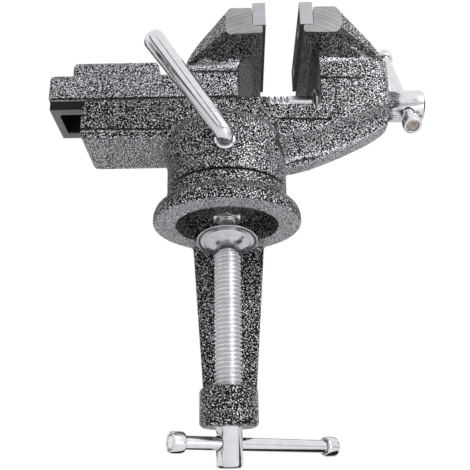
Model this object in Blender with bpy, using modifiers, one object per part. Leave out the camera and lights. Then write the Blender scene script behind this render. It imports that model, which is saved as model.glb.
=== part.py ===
"""Swivel bench vise with a screw clamp base, modelled piece by piece.

Metres, +Z up. The origin is on the swivel axis, at the underside of the base ring.
+X runs along the spindle towards its handle, -Y faces the person who works the lock lever.
"""

import math

import bmesh
import bpy
from mathutils import Matrix, Vector

# Shared clearances and facet counts
GAP = 0.0003
OVERRUN = 0.002
WELD = 0.00001
FACETS = 48
SMALL_FACETS = 24
SHARP_ANGLE = math.radians(32)

# Base casting: ring, hub, arm and screw boss
FLANGE_RADIUS = 0.0447
FLANGE_RIM = 0.0035
FLANGE_CHAMFER = 0.0008
BASE_RADIUS = 0.0366
SHOULDER_TOP = 0.0128
JOINT_HEIGHT = 0.0217
RECESS_RADIUS = 0.0307
RECESS_DEPTH = 0.0160
HUB_RADIUS = 0.0220
HUB_RISE = 0.0233
ARM_FRONT = 0.0350
ARM_PLATE = 0.0095
ARM_TOP_WIDTH = 0.0470
ARM_FOOT_WIDTH = 0.0320
ARM_BEND = 0.0140
ARM_INNER_BEND = 0.0120
RIB_WIDTH = 0.0110
RIB_DEPTH = 0.0080
FOOT_DROP = 0.0175
BOSS_RADIUS = 0.0163
BOSS_TOP = -0.0957
BOSS_BOTTOM = -0.1171
BOSS_ROUND = 0.0018

# Swivel bolt with its nut and washers
BOLT_RADIUS = 0.0050
BOLT_HOLE = 0.0054
BOLT_HEAD_ACROSS = 0.0170
BOLT_HEAD_HEIGHT = 0.0064
BOLT_END = 0.0022
NUT_HEIGHT = 0.0072
WASHER_RADIUS = 0.0100
WASHER_THICK = 0.0015
SPRING_WASHER_RADIUS = 0.0088
SPRING_WASHER_THICK = 0.0022
SPRING_WASHER_SPLIT = 0.0012
HEAD_POCKET_RADIUS = 0.0108
POCKET_RISE = 0.0060
POCKET_DEPTH = 0.0070

# Vise body: neck, trough, beam, nose and fixed jaw
NECK_RADIUS = 0.0366
NECK_WAIST_DROP = 0.0045
NECK_SWELL_STEP = 0.0029
NECK_SWELL_DROP = 0.0007
NECK_DOME = 0.0200
TROUGH_LEFT = -0.0882
TROUGH_HALF = 0.0214
TROUGH_FLOOR_THICK = 0.0073
TROUGH_TOP_DROP = 0.0033
TROUGH_CORNER = 0.0035
RIM_HALF = 0.0222
RIM_HEIGHT = 0.0046
RIM_ROUND = 0.0018
CHANNEL_HALF = 0.0184
STEP_X = 0.0260
BEAM_TOP_DROP = 0.0091
BEAM_HALF = 0.0220
POST_FACE = 0.0588
NOSE_END = 0.1022
LEDGE_RISE = 0.0225
PANEL_DEPTH = 0.0008
PANEL_LEFT = 0.0330
PANEL_BOTTOM_DROP = 0.0193
PANEL_TOP_RISE = 0.0075
PANEL_RIGHT = 0.0677
KEEL_HALF = 0.0065
KEEL_ROUND = 0.0028
FLANK_ROUND = 0.0020

BEAM_START = 0.0200
FLANK_END_DROP = 0.0075
KEEL_RISE = 0.0128
KEEL_END_DROP = 0.0155
COVE_STEPS = 4
NECK_STEPS = 6
TROUGH_SHOULDER = 0.0060
HEAD_SINK = 0.0010

# Jaw heads, common to both jaws
JAW_WIDTH = 0.0750
HEAD_RISE = 0.0082
HEAD_HEIGHT = 0.0190
HEAD_ROUND = 0.0030
HEAD_TRIM = 0.0050
PLATE_RISE = 0.0035
PLATE_HEIGHT = 0.0165
PLATE_THICK = 0.0083
SHELF_BACK = 0.0020
OPENING = 0.0211
FIXED_FACE = 0.0468
WING_LENGTH = 0.0150
PLATE_SCREW_SPACING = 0.0420
PLATE_SCREW_RADIUS = 0.0025
PLATE_SCREW_HEAD = 0.0048
PLATE_SCREW_CONE = 0.0024
PLATE_SCREW_DEPTH = 0.0100
PLATE_SCREW_SOCKET = 0.0030

# Moving jaw: box slide with an anvil, bare rails and a hollow for the spindle
SLIDE_LEFT = -0.1100
SLIDE_HALF = 0.0203
SLIDE_RISE = 0.0149
SLIDE_ROUND = 0.0020
SLIDE_POST_FACE = 0.0084
RAIL_STEP = 0.0010
RAIL_HALF = 0.0181
HOLLOW_HALF = 0.0115
HOLLOW_RISE = 0.0089
HOLLOW_END_WALL = 0.0060
HOLLOW_FRONT_WALL = 0.0065
MOVING_LEDGE_STEP = 0.0014
HEAD_BACK = -0.0262
ANVIL_SETBACK = 0.0130
ANVIL_CLEAR = 0.0161
ANVIL_HALF = 0.0160
ANVIL_RISE = 0.0124
ANVIL_ROUND = 0.0025

# Spindle and the pieces on it
SPINDLE_RISE = 0.0235
SPINDLE_RADIUS = 0.0080
SPINDLE_BORE = 0.0083
SPINDLE_END = -0.0580
SPINDLE_HEAD_RADIUS = 0.0100
SPINDLE_HEAD_END = 0.1258
SPINDLE_CHAMFER = 0.0010
SPINDLE_HOLE_X = 0.1150
THRUST_WASHER_RADIUS = 0.0120
THRUST_WASHER_THICK = 0.0016
RING_GROOVE_DEPTH = 0.0010
RING_THICK = 0.0012
RING_RADIUS = 0.0102
RING_OPENING = 0.0080
SPINDLE_NUT_LENGTH = 0.0180
SPINDLE_NUT_RIGHT = 0.0000
SPINDLE_NUT_RISE = 0.0060
SPINDLE_NUT_CLEAR = 0.0088
SPINDLE_LUG_HALF = 0.0152
SPINDLE_LUG_DROP = 0.0025
BAR_RADIUS = 0.0039
BAR_HOLE = 0.0042
KNOB_RADIUS = 0.0065
KNOB_LENGTH = 0.0110
KNOB_FACE = 0.0044
KNOB_STEPS = 8
KNOB_SPACING = 0.0976
SPINDLE_BAR_REACH = 0.0222
SPINDLE_BAR_DROP = math.radians(58.8)

# Lock lever in the neck
LEVER_DROP = 0.0055
LEVER_STUD_RADIUS = 0.0038
LEVER_HOLE = 0.0041
LEVER_COLLAR_RADIUS = 0.0062
LEVER_COLLAR_THICK = 0.0030
LEVER_COLLAR_ROUND = 0.0010
LEVER_SPOT_DEPTH = 0.0014
LEVER_BEND = 0.0050
LEVER_BEND_STEPS = 6
LEVER_STEPS = 4
LEVER_DOME_STEPS = 4
LEVER_DOME_ANGLE = math.radians(75)
LEVER_ROOT_RADIUS = 0.0050
LEVER_END_RADIUS = 0.0065
LEVER_LENGTH = 0.0715
LEVER_LEAN = 0.0090
LEVER_ANGLE = math.radians(125)
LEVER_DOME = 0.0050

# Clamp screw, its pad and its bar
SCREW_RADIUS = 0.0078
SCREW_BORE = 0.0081
SCREW_TOP = -0.0152
SCREW_TIP_RADIUS = 0.0034
SCREW_TIP_TOP = -0.0092
SCREW_SHOULDER = 0.0036
SCREW_HEAD_RADIUS = 0.0072
SCREW_HEAD_BOTTOM = -0.1379
SCREW_CHAMFER = 0.0010
CLAMP_BAR_HEIGHT = -0.1255
CLAMP_BAR_YAW = math.radians(30)
CLAMP_BAR_REACH = 0.0312
PAD_HEIGHT = -0.0080
PAD_RADIUS = 0.0183
PAD_THICK = 0.0012
PAD_DISH = 0.0048
PAD_HOLE = 0.0044
PAD_SKEW = 0.0004
PAD_TILT = math.radians(11)
RIVET_WASHER_RADIUS = 0.0062
RIVET_WASHER_THICK = 0.0012

# Heights worked out from the steps above, going up from the swivel joint
HUB_TOP = JOINT_HEIGHT + HUB_RISE
LEVER_HEIGHT = HUB_TOP - LEVER_DROP
POCKET_FLOOR = HUB_TOP + POCKET_RISE
TROUGH_FLOOR = POCKET_FLOOR + POCKET_DEPTH
TROUGH_BOTTOM = TROUGH_FLOOR - TROUGH_FLOOR_THICK
NECK_WAIST_TOP = LEVER_HEIGHT - NECK_WAIST_DROP
NECK_SWELL_HEIGHT = TROUGH_BOTTOM - NECK_SWELL_DROP
NECK_TOP = NECK_SWELL_HEIGHT + NECK_DOME
SPINDLE_HEIGHT = TROUGH_FLOOR + SPINDLE_RISE
SPINDLE_NUT_BOTTOM = TROUGH_FLOOR + SPINDLE_NUT_CLEAR
SPINDLE_NUT_TOP = SPINDLE_HEIGHT + SPINDLE_NUT_RISE
SPINDLE_LUG_TOP = SPINDLE_HEIGHT - SPINDLE_LUG_DROP
BEAM_TOP = SPINDLE_HEIGHT - BEAM_TOP_DROP
RAIL_BOTTOM = BEAM_TOP
TROUGH_TOP = SPINDLE_HEIGHT - TROUGH_TOP_DROP
PANEL_BOTTOM = SPINDLE_HEIGHT - PANEL_BOTTOM_DROP
PANEL_TOP = SPINDLE_HEIGHT + PANEL_TOP_RISE
KEEL_BOTTOM = JOINT_HEIGHT + KEEL_RISE
KEEL_END = SPINDLE_HEIGHT - KEEL_END_DROP
FLANK_END = SPINDLE_HEIGHT - FLANK_END_DROP
HOLLOW_CEILING = SPINDLE_HEIGHT + HOLLOW_RISE
SLIDE_TOP = SPINDLE_HEIGHT + SLIDE_RISE
ANVIL_TOP = SLIDE_TOP + ANVIL_RISE
LEDGE_HEIGHT = SPINDLE_HEIGHT + LEDGE_RISE
MOVING_LEDGE = LEDGE_HEIGHT - MOVING_LEDGE_STEP
HEAD_BOTTOM = LEDGE_HEIGHT + HEAD_RISE
HEAD_TOP = HEAD_BOTTOM + HEAD_HEIGHT
PLATE_TOP = HEAD_TOP + PLATE_RISE

# Faces and half widths worked out from the sizes above
RAIL_LEFT = SLIDE_LEFT + RAIL_STEP
ANVIL_LEFT = SLIDE_LEFT + ANVIL_SETBACK
ANVIL_RIGHT = HEAD_BACK - ANVIL_CLEAR
NECK_SWELL = NECK_RADIUS + NECK_SWELL_STEP
LEVER_SPOT = NECK_RADIUS - LEVER_SPOT_DEPTH
MOVING_FACE = FIXED_FACE - OPENING
FIXED_SEAT = FIXED_FACE + PLATE_THICK
MOVING_SEAT = MOVING_FACE - PLATE_THICK
WING_HALF = JAW_WIDTH / 2
PLATE_BOTTOM = PLATE_TOP - PLATE_HEIGHT
PLATE_MIDDLE = PLATE_TOP - PLATE_HEIGHT / 2
BODY_BOTTOM = JOINT_HEIGHT + GAP
SLIDE_BOTTOM = TROUGH_TOP + GAP
ARM_BACK = ARM_FRONT + ARM_PLATE

# Sketch planes: side view outlines run along X and Z, end view ones along Y and Z
XZ_PLACE = Matrix(((1, 0, 0, 0), (0, 0, -1, 0), (0, 1, 0, 0), (0, 0, 0, 1)))
YZ_PLACE = Matrix(((0, 0, 1, 0), (1, 0, 0, 0), (0, 1, 0, 0), (0, 0, 0, 1)))

# Curves of the nose, as shares of its length from the neck and of the rise of each line
BEAM_STATION_SHARES = (0.0, 0.13, 0.26, 0.38, 0.47, 0.56, 0.66, 0.76, 0.85, 0.91, 0.96, 0.985, 1.0)
FLANK_SHARES = ((0.0, 0.0), (0.13, 0.0), (0.38, 0.07), (0.47, 0.2), (0.56, 0.36), (0.68, 0.51),
                (0.85, 0.74), (0.94, 0.88), (1.0, 1.0))
KEEL_SHARES = ((0.0, 0.0), (0.13, 0.01), (0.23, 0.04), (0.38, 0.14), (0.535, 0.295), (0.69, 0.476),
               (0.85, 0.69), (0.95, 0.86), (1.0, 1.0))
NOSE_PLAN_SHARES = ((0.0, 1.0), (0.85, 1.0), (0.91, 0.985), (0.96, 0.93), (0.985, 0.85), (1.0, 0.74))

# Flat part of a wing's underside, as a share of the way in to the casting
HEAD_KNEE_SHARE = 0.16

# Jaw head behind its wings: place, half width, top, underside and foot, as shares
HEAD_SHARES = ((0.0, 1.0, 1.0, 0.32, 1.0), (0.56, 0.57, 0.72, 0.27, 1.0), (0.71, 0.49, 0.60, 0.22, 0.90),
               (0.85, 0.40, 0.46, 0.16, 0.76), (0.94, 0.34, 0.34, 0.10, 0.64), (0.985, 0.30, 0.22, 0.05, 0.56))

# Section of the dished pad, as shares of its radius and depth
PAD_SHARES = ((0.38, 0.0), (0.52, 0.16), (0.70, 0.60), (0.82, 0.88), (0.90, 1.0), (1.0, 1.0))

parts = None
cutters = None


def clear_scene():
    for item in list(bpy.data.objects):
        bpy.data.objects.remove(item, do_unlink=True)


def make_collection(name):
    group = bpy.data.collections.new(name)
    bpy.context.scene.collection.children.link(group)
    return group


def add_object(name, data):
    item = bpy.data.objects.new(name, data)
    parts.objects.link(item)
    return item


def set_aside(item):
    """Turn a finished shape into a helper that only Booleans use."""
    parts.objects.unlink(item)
    cutters.objects.link(item)
    item.hide_render = True
    item.display_type = 'WIRE'


def boolean(target, tool, operation):
    set_aside(tool)
    step = target.modifiers.new(operation.lower(), 'BOOLEAN')
    step.object = tool
    step.operation = operation
    step.solver = 'EXACT'


def join(target, *tools):
    for tool in tools:
        boolean(target, tool, 'UNION')


def cut(target, *tools):
    for tool in tools:
        boolean(target, tool, 'DIFFERENCE')


def keep_common(target, tool):
    boolean(target, tool, 'INTERSECT')


def bevel(item, width, segments=3, angle=math.radians(40)):
    step = item.modifiers.new("rounded edges", 'BEVEL')
    step.width = width
    step.segments = segments
    step.limit_method = 'ANGLE'
    step.angle_limit = angle


def block(name, low, high, rounding=0.0, segments=3):
    """A box between two corners, its edges rounded if asked."""
    mesh = bpy.data.meshes.new(name)
    shape = bmesh.new()
    bmesh.ops.create_cube(shape, size=1.0)
    middle = (Vector(low) + Vector(high)) / 2
    size = Vector(high) - Vector(low)
    for vertex in shape.verts:
        vertex.co = Vector(c * s for c, s in zip(vertex.co, size)) + middle
    shape.to_mesh(mesh)
    shape.free()
    item = add_object(name, mesh)
    if rounding:
        bevel(item, rounding, segments)
    return item


def turned(name, profile, place=Matrix(), facets=FACETS, closed=False):
    """A profile of (radius, height) points, turned about the local Z axis."""
    mesh = bpy.data.meshes.new(name)
    points = [(radius, 0.0, height) for radius, height in profile]
    edges = [(i, i + 1) for i in range(len(points) - 1)]
    if closed:
        edges.append((len(points) - 1, 0))
    mesh.from_pydata(points, edges, [])
    item = add_object(name, mesh)
    item.matrix_world = place
    screw = item.modifiers.new("turned", 'SCREW')
    screw.angle = math.tau
    screw.steps = facets
    screw.render_steps = facets
    screw.use_merge_vertices = True
    screw.merge_threshold = WELD
    screw.use_smooth_shade = True
    return item


def rod(name, low, high, radius, place=Matrix(), facets=FACETS):
    """A plain round bar from one height to another on the local Z axis."""
    return turned(name, [(0.0, high), (radius, high), (radius, low), (0.0, low)], place, facets)


def along_x(x=0.0, y=0.0, z=0.0):
    """Turns the local Z axis to +X, at a point."""
    return Matrix.Translation((x, y, z)) @ Matrix.Rotation(math.pi / 2, 4, 'Y')


def along_y(x=0.0, y=0.0, z=0.0):
    """Turns the local Z axis to -Y, at a point."""
    return Matrix.Translation((x, y, z)) @ Matrix.Rotation(math.pi / 2, 4, 'X')


def to_mesh_object(item):
    """A curve made a welded mesh, under the same name and in the same place."""
    bpy.context.view_layer.update()
    graph = bpy.context.evaluated_depsgraph_get()
    mesh = bpy.data.meshes.new_from_object(item.evaluated_get(graph))
    shape = bmesh.new()
    shape.from_mesh(mesh)
    bmesh.ops.remove_doubles(shape, verts=shape.verts, dist=WELD)
    shape.to_mesh(mesh)
    shape.free()
    name = item.name
    place = item.matrix_world.copy()
    bpy.data.objects.remove(item, do_unlink=True)
    solid = add_object(name, mesh)
    solid.matrix_world = place
    return solid


def prism(name, outline, low, high, place=Matrix()):
    """A flat outline of (x, y) points, extruded between two heights along local Z."""
    curve = bpy.data.curves.new(name, 'CURVE')
    curve.dimensions = '2D'
    curve.fill_mode = 'BOTH'
    curve.extrude = (high - low) / 2
    spline = curve.splines.new('POLY')
    spline.points.add(len(outline) - 1)
    for point, (x, y) in zip(spline.points, outline):
        point.co = (x, y, 0.0, 1.0)
    spline.use_cyclic_u = True
    item = add_object(name, curve)
    item.matrix_world = place @ Matrix.Translation((0.0, 0.0, (high + low) / 2))
    return to_mesh_object(item)


def arc(centre, radius, start, end, steps):
    """Points on a round stretch of an outline, angles in degrees."""
    points = []
    for i in range(steps + 1):
        angle = math.radians(start + (end - start) * i / steps)
        points.append((centre[0] + radius * math.cos(angle), centre[1] + radius * math.sin(angle)))
    return points


def hexagon(across):
    corner = across / math.sqrt(3)
    return [(corner * math.cos(i * math.pi / 3), corner * math.sin(i * math.pi / 3)) for i in range(6)]


def loft(name, sections):
    """A closed skin through equal rings of points, with a flat cap at each end."""
    mesh = bpy.data.meshes.new(name)
    shape = bmesh.new()
    rings = [[shape.verts.new(point) for point in section] for section in sections]
    for ring, following in zip(rings, rings[1:]):
        count = len(ring)
        for i in range(count):
            j = (i + 1) % count
            shape.faces.new((ring[i], ring[j], following[j], following[i]))
    shape.faces.new(rings[0])
    shape.faces.new(rings[-1])
    bmesh.ops.recalc_face_normals(shape, faces=shape.faces)
    shape.to_mesh(mesh)
    shape.free()
    return add_object(name, mesh)


def between(pairs, x):
    """A value read off a chain of (place, value) pairs."""
    for (x0, v0), (x1, v1) in zip(pairs, pairs[1:]):
        if x <= x1:
            share = (x - x0) / (x1 - x0)
            return v0 + (v1 - v0) * share
    return pairs[-1][1]


def finish(item, material, smooth=True):
    """Gives a node its material and soft shading."""
    item.data.materials.append(material)
    if smooth and item.type == 'MESH':
        for face in item.data.polygons:
            face.use_smooth = True
        item.data.set_sharp_from_angle(angle=SHARP_ANGLE)
    return item


def make_material(name, colour, roughness, metallic):
    material = bpy.data.materials.new(name)
    material.use_nodes = True
    shader = material.node_tree.nodes["Principled BSDF"]
    shader.inputs["Base Color"].default_value = (*colour, 1.0)
    shader.inputs["Roughness"].default_value = roughness
    shader.inputs["Metallic"].default_value = metallic
    material.diffuse_color = (*colour, 1.0)
    return material


def make_clamp_base(material):
    """Ring with a hub for the swivel, and a ribbed arm down to the screw boss."""
    shoulder = []
    for i in range(7):
        angle = math.radians(90 - 15 * i)
        shoulder.append((BASE_RADIUS + (FLANGE_RADIUS - BASE_RADIUS) * math.cos(angle),
                         FLANGE_RIM + (SHOULDER_TOP - FLANGE_RIM) * math.sin(angle)))
    profile = [(BOLT_HOLE, HUB_TOP), (HUB_RADIUS, HUB_TOP), (HUB_RADIUS, JOINT_HEIGHT),
               (BASE_RADIUS, JOINT_HEIGHT)] + shoulder
    profile += [(FLANGE_RADIUS, FLANGE_CHAMFER), (FLANGE_RADIUS - FLANGE_CHAMFER, 0.0),
                (RECESS_RADIUS, 0.0), (RECESS_RADIUS, RECESS_DEPTH), (BOLT_HOLE, RECESS_DEPTH)]
    base = turned("clamp_base", profile, closed=True)

    arm_root = FLANGE_RIM
    foot_top = BOSS_TOP - FLANGE_CHAMFER
    foot_bottom = foot_top - FOOT_DROP
    inner = arc((ARM_FRONT - ARM_INNER_BEND, foot_top + ARM_INNER_BEND), ARM_INNER_BEND, 270, 360, 5)
    outer = arc((ARM_BACK - ARM_BEND, foot_bottom + ARM_BEND), ARM_BEND, 0, -90, 6)
    side = [(ARM_FRONT, arm_root), (ARM_BACK, arm_root)] + outer + [(0.0, foot_bottom), (0.0, foot_top)] + inner
    arm = prism("arm_side", side, -ARM_TOP_WIDTH, ARM_TOP_WIDTH, YZ_PLACE)
    half_top = ARM_TOP_WIDTH / 2
    half_foot = ARM_FOOT_WIDTH / 2
    front = [(-half_top, arm_root + OVERRUN), (-half_foot, foot_top), (-half_foot, foot_bottom - OVERRUN),
             (half_foot, foot_bottom - OVERRUN), (half_foot, foot_top), (half_top, arm_root + OVERRUN)]
    keep_common(arm, prism("arm_front", front, -ARM_BACK - OVERRUN, OVERRUN, XZ_PLACE))
    bevel(arm, BOSS_ROUND, 2)

    rib_outer = arc((ARM_BACK + RIB_DEPTH - ARM_BEND, foot_bottom + ARM_BEND), ARM_BEND, 0, -90, 6)
    rib_side = [(ARM_BACK - OVERRUN, FLANGE_RIM), (ARM_BACK + FLANGE_CHAMFER, FLANGE_RIM)]
    rib_side += [(ARM_BACK + RIB_DEPTH, BOSS_TOP / 2)] + rib_outer
    rib_side += [(BOSS_RADIUS, foot_bottom), (BOSS_RADIUS, foot_bottom + OVERRUN)]
    rib_side += [(ARM_BACK - ARM_BEND, foot_bottom + OVERRUN), (ARM_BACK - OVERRUN, foot_bottom + ARM_BEND)]
    rib = prism("arm_rib", rib_side, -RIB_WIDTH / 2, RIB_WIDTH / 2, YZ_PLACE)

    boss = turned("screw_boss", [(0.0, BOSS_TOP), (BOSS_RADIUS - BOSS_ROUND, BOSS_TOP),
                                 (BOSS_RADIUS, BOSS_TOP - BOSS_ROUND), (BOSS_RADIUS, BOSS_BOTTOM + BOSS_ROUND),
                                 (BOSS_RADIUS - BOSS_ROUND, BOSS_BOTTOM), (0.0, BOSS_BOTTOM)])
    join(base, arm, rib, boss)
    cut(base, rod("screw_bore", BOSS_BOTTOM - OVERRUN, BOSS_TOP + OVERRUN, SCREW_BORE))
    return finish(base, material)


def beam_section(share):
    """Outline across the beam and nose: upright flanks, a cove, and a keel below."""
    x = BEAM_START + (NOSE_END - BEAM_START) * share
    half = BEAM_HALF * between(NOSE_PLAN_SHARES, share)
    top = LEDGE_HEIGHT
    corner = TROUGH_BOTTOM + (FLANK_END - TROUGH_BOTTOM) * between(FLANK_SHARES, share)
    keel = KEEL_BOTTOM + (KEEL_END - KEEL_BOTTOM) * between(KEEL_SHARES, share)
    inner = half - FLANK_ROUND
    root = keel + KEEL_ROUND
    points = [(half, top), (half, corner + FLANK_ROUND)]
    points += arc((inner, corner + FLANK_ROUND), FLANK_ROUND, 0, -90, 3)[1:]
    for i in range(1, COVE_STEPS + 1):
        angle = math.pi / 2 * i / COVE_STEPS
        points.append((inner - (inner - KEEL_HALF) * math.sin(angle),
                       corner - (corner - root) * (1 - math.cos(angle))))
    points += arc((KEEL_HALF - KEEL_ROUND, root), KEEL_ROUND, 0, -90, 3)[1:]
    outline = points + [(-y, z) for y, z in reversed(points)]
    return [(x, y, z) for y, z in outline]


def make_neck():
    """Round neck, swelling under the trough and closed by a dome inside it."""
    profile = [(0.0, NECK_TOP)]
    for i in range(1, NECK_STEPS + 1):
        angle = math.pi / 2 * (1 - i / NECK_STEPS)
        profile.append((NECK_SWELL * math.cos(angle),
                        NECK_SWELL_HEIGHT + (NECK_TOP - NECK_SWELL_HEIGHT) * math.sin(angle)))
    for i in range(1, NECK_STEPS + 1):
        share = i / NECK_STEPS
        swell = (1 + math.cos(math.pi * share)) / 2
        profile.append((NECK_RADIUS + (NECK_SWELL - NECK_RADIUS) * swell,
                        NECK_SWELL_HEIGHT + (NECK_WAIST_TOP - NECK_SWELL_HEIGHT) * share))
    profile += [(NECK_RADIUS, BODY_BOTTOM + FLANGE_CHAMFER), (NECK_RADIUS - FLANGE_CHAMFER, BODY_BOTTOM),
                (0.0, BODY_BOTTOM)]
    return turned("neck", profile)


def make_trough():
    """The open channel's outer block, its free end rounded in side view."""
    outline = [(STEP_X, TROUGH_TOP), (STEP_X, TROUGH_BOTTOM)]
    outline += list(reversed(arc((TROUGH_LEFT + TROUGH_CORNER, TROUGH_BOTTOM + TROUGH_CORNER),
                                 TROUGH_CORNER, 180, 270, 4)))
    outline += list(reversed(arc((TROUGH_LEFT + TROUGH_SHOULDER, TROUGH_TOP - TROUGH_SHOULDER),
                                 TROUGH_SHOULDER, 90, 180, 5)))
    trough = prism("trough", outline, -TROUGH_HALF, TROUGH_HALF, XZ_PLACE)
    bevel(trough, PANEL_DEPTH, 2)
    rim = block("trough_rim", (TROUGH_LEFT + RIM_ROUND, -RIM_HALF, TROUGH_BOTTOM),
                (STEP_X, RIM_HALF, TROUGH_BOTTOM + RIM_HEIGHT), RIM_ROUND, 3)
    join(trough, rim)
    return trough


def jaw_head(name, seat, post, tail, under, low):
    """Wide jaw head whose wings taper back to the casting, lofted from its machined seat."""
    toward = 1 if seat > tail else -1
    wing_end = seat - toward * WING_LENGTH
    wide = WING_HALF + HEAD_TRIM
    rise = HEAD_TOP - low
    stations = [(seat, wide, HEAD_TOP, HEAD_BOTTOM, under, HEAD_BOTTOM - HEAD_SINK),
                (post, wide, HEAD_TOP, HEAD_BOTTOM, under, low),
                (wing_end + toward * HEAD_TRIM, wide, HEAD_TOP, HEAD_BOTTOM, under, low)]
    if toward * (stations[2][0] - post) > 0:
        stations[1:] = [stations[2], stations[1]]
    for along, width, top, bottom, foot in HEAD_SHARES:
        stations.append((wing_end + (tail - wing_end) * along, WING_HALF * width,
                         low + rise * top, low + rise * bottom, under * foot, low))
    sections = []
    for x, half, top, bottom, foot, base in stations:
        rounding = min(HEAD_ROUND, (top - bottom) / 3)
        side = arc((half - rounding, top - rounding), rounding, 90, 0, 3)
        side += arc((half - rounding, bottom + rounding), rounding, 0, -90, 3)
        knee = max((half - rounding - foot) * HEAD_KNEE_SHARE, GAP)
        side += [(half - rounding - knee, bottom), (foot, base)]
        sections.append([(x, y, z) for y, z in side + [(-y, z) for y, z in reversed(side)]])
    return loft(name, sections)


def jaw_shelf(name, seat, face, toward):
    """Ledge under the plate, made too wide like the head and trimmed with it."""
    wide = WING_HALF + HEAD_ROUND
    edge = face - toward * SHELF_BACK
    root = seat - toward * OVERRUN
    return block(name, (min(edge, root), -wide, HEAD_BOTTOM + GAP), (max(edge, root), wide, PLATE_BOTTOM - GAP))


def square_wings(target, low_x, high_x):
    """Machines the ends of the wings flat, to the width of the jaws."""
    far = WING_HALF + HEAD_ROUND + OVERRUN + OVERRUN
    for side in (-1, 1):
        inner, outer = sorted((side * WING_HALF, side * far))
        cut(target, block("wing_end", (low_x - OVERRUN, inner, LEDGE_HEIGHT), (high_x + OVERRUN, outer, PLATE_TOP)))


def plate_screw_holes(target, face, toward, deep):
    """Holes for the two screws of one jaw plate, drilled from its face."""
    for side in (-1, 1):
        place = screw_place(face, side, toward)
        cut(target, rod("plate_screw_hole", -deep, OVERRUN, PLATE_SCREW_RADIUS + GAP, place, SMALL_FACETS))


def screw_place(face, side, toward):
    """Local +Z points out of the plate's face."""
    turn = Matrix.Rotation(toward * math.pi / 2, 4, 'Y')
    return Matrix.Translation((face, side * PLATE_SCREW_SPACING / 2, PLATE_MIDDLE)) @ turn


def make_vise_body(material):
    """Swivel body: neck, trough, keeled nose and fixed jaw in one casting."""
    body = loft("vise_body", [beam_section(share) for share in BEAM_STATION_SHARES])
    cut(body, block("jaw_gap", (BEAM_START - OVERRUN, -BEAM_HALF - OVERRUN, BEAM_TOP),
                    (POST_FACE, BEAM_HALF + OVERRUN, LEDGE_HEIGHT + OVERRUN)))
    for side in (-1, 1):
        skin = side * (BEAM_HALF - PANEL_DEPTH)
        outside = side * (BEAM_HALF + OVERRUN)
        low, high = min(skin, outside), max(skin, outside)
        cut(body, block("flank_panel", (PANEL_LEFT, low, PANEL_BOTTOM),
                        (PANEL_RIGHT, high, PANEL_TOP), PANEL_DEPTH, 2))
    head = jaw_head("fixed_head", FIXED_SEAT, POST_FACE, NOSE_END, BEAM_HALF - HEAD_SINK,
                    LEDGE_HEIGHT - HEAD_SINK)
    join(body, make_neck(), make_trough(), head, jaw_shelf("fixed_shelf", FIXED_SEAT, FIXED_FACE, -1))
    square_wings(body, FIXED_FACE, NOSE_END)

    channel = block("channel", (TROUGH_LEFT - OVERRUN, -CHANNEL_HALF, TROUGH_FLOOR),
                    (POST_FACE, CHANNEL_HALF, TROUGH_TOP + OVERRUN))
    bore = rod("spindle_bore", POST_FACE - OVERRUN, NOSE_END + OVERRUN, SPINDLE_BORE,
               along_x(z=SPINDLE_HEIGHT))
    socket = rod("hub_socket", BODY_BOTTOM - OVERRUN, HUB_TOP + GAP, HUB_RADIUS + GAP)
    bolt_hole = rod("bolt_hole", HUB_TOP, TROUGH_FLOOR + OVERRUN, BOLT_HOLE, facets=SMALL_FACETS)
    pocket = rod("bolt_pocket", POCKET_FLOOR, TROUGH_FLOOR + OVERRUN, HEAD_POCKET_RADIUS)
    outside = NECK_SWELL + OVERRUN
    spot = LEVER_COLLAR_RADIUS + GAP + GAP
    lever_hole = turned("lever_hole", [(0.0, outside), (spot, outside), (spot, LEVER_SPOT), (LEVER_HOLE, LEVER_SPOT),
                                       (LEVER_HOLE, HUB_RADIUS - OVERRUN), (0.0, HUB_RADIUS - OVERRUN)],
                        along_y(z=LEVER_HEIGHT), SMALL_FACETS)
    cut(body, channel, bore, socket, bolt_hole, pocket, lever_hole)
    plate_screw_holes(body, FIXED_FACE, -1, PLATE_THICK + PLATE_SCREW_DEPTH)
    return finish(body, material)


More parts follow.
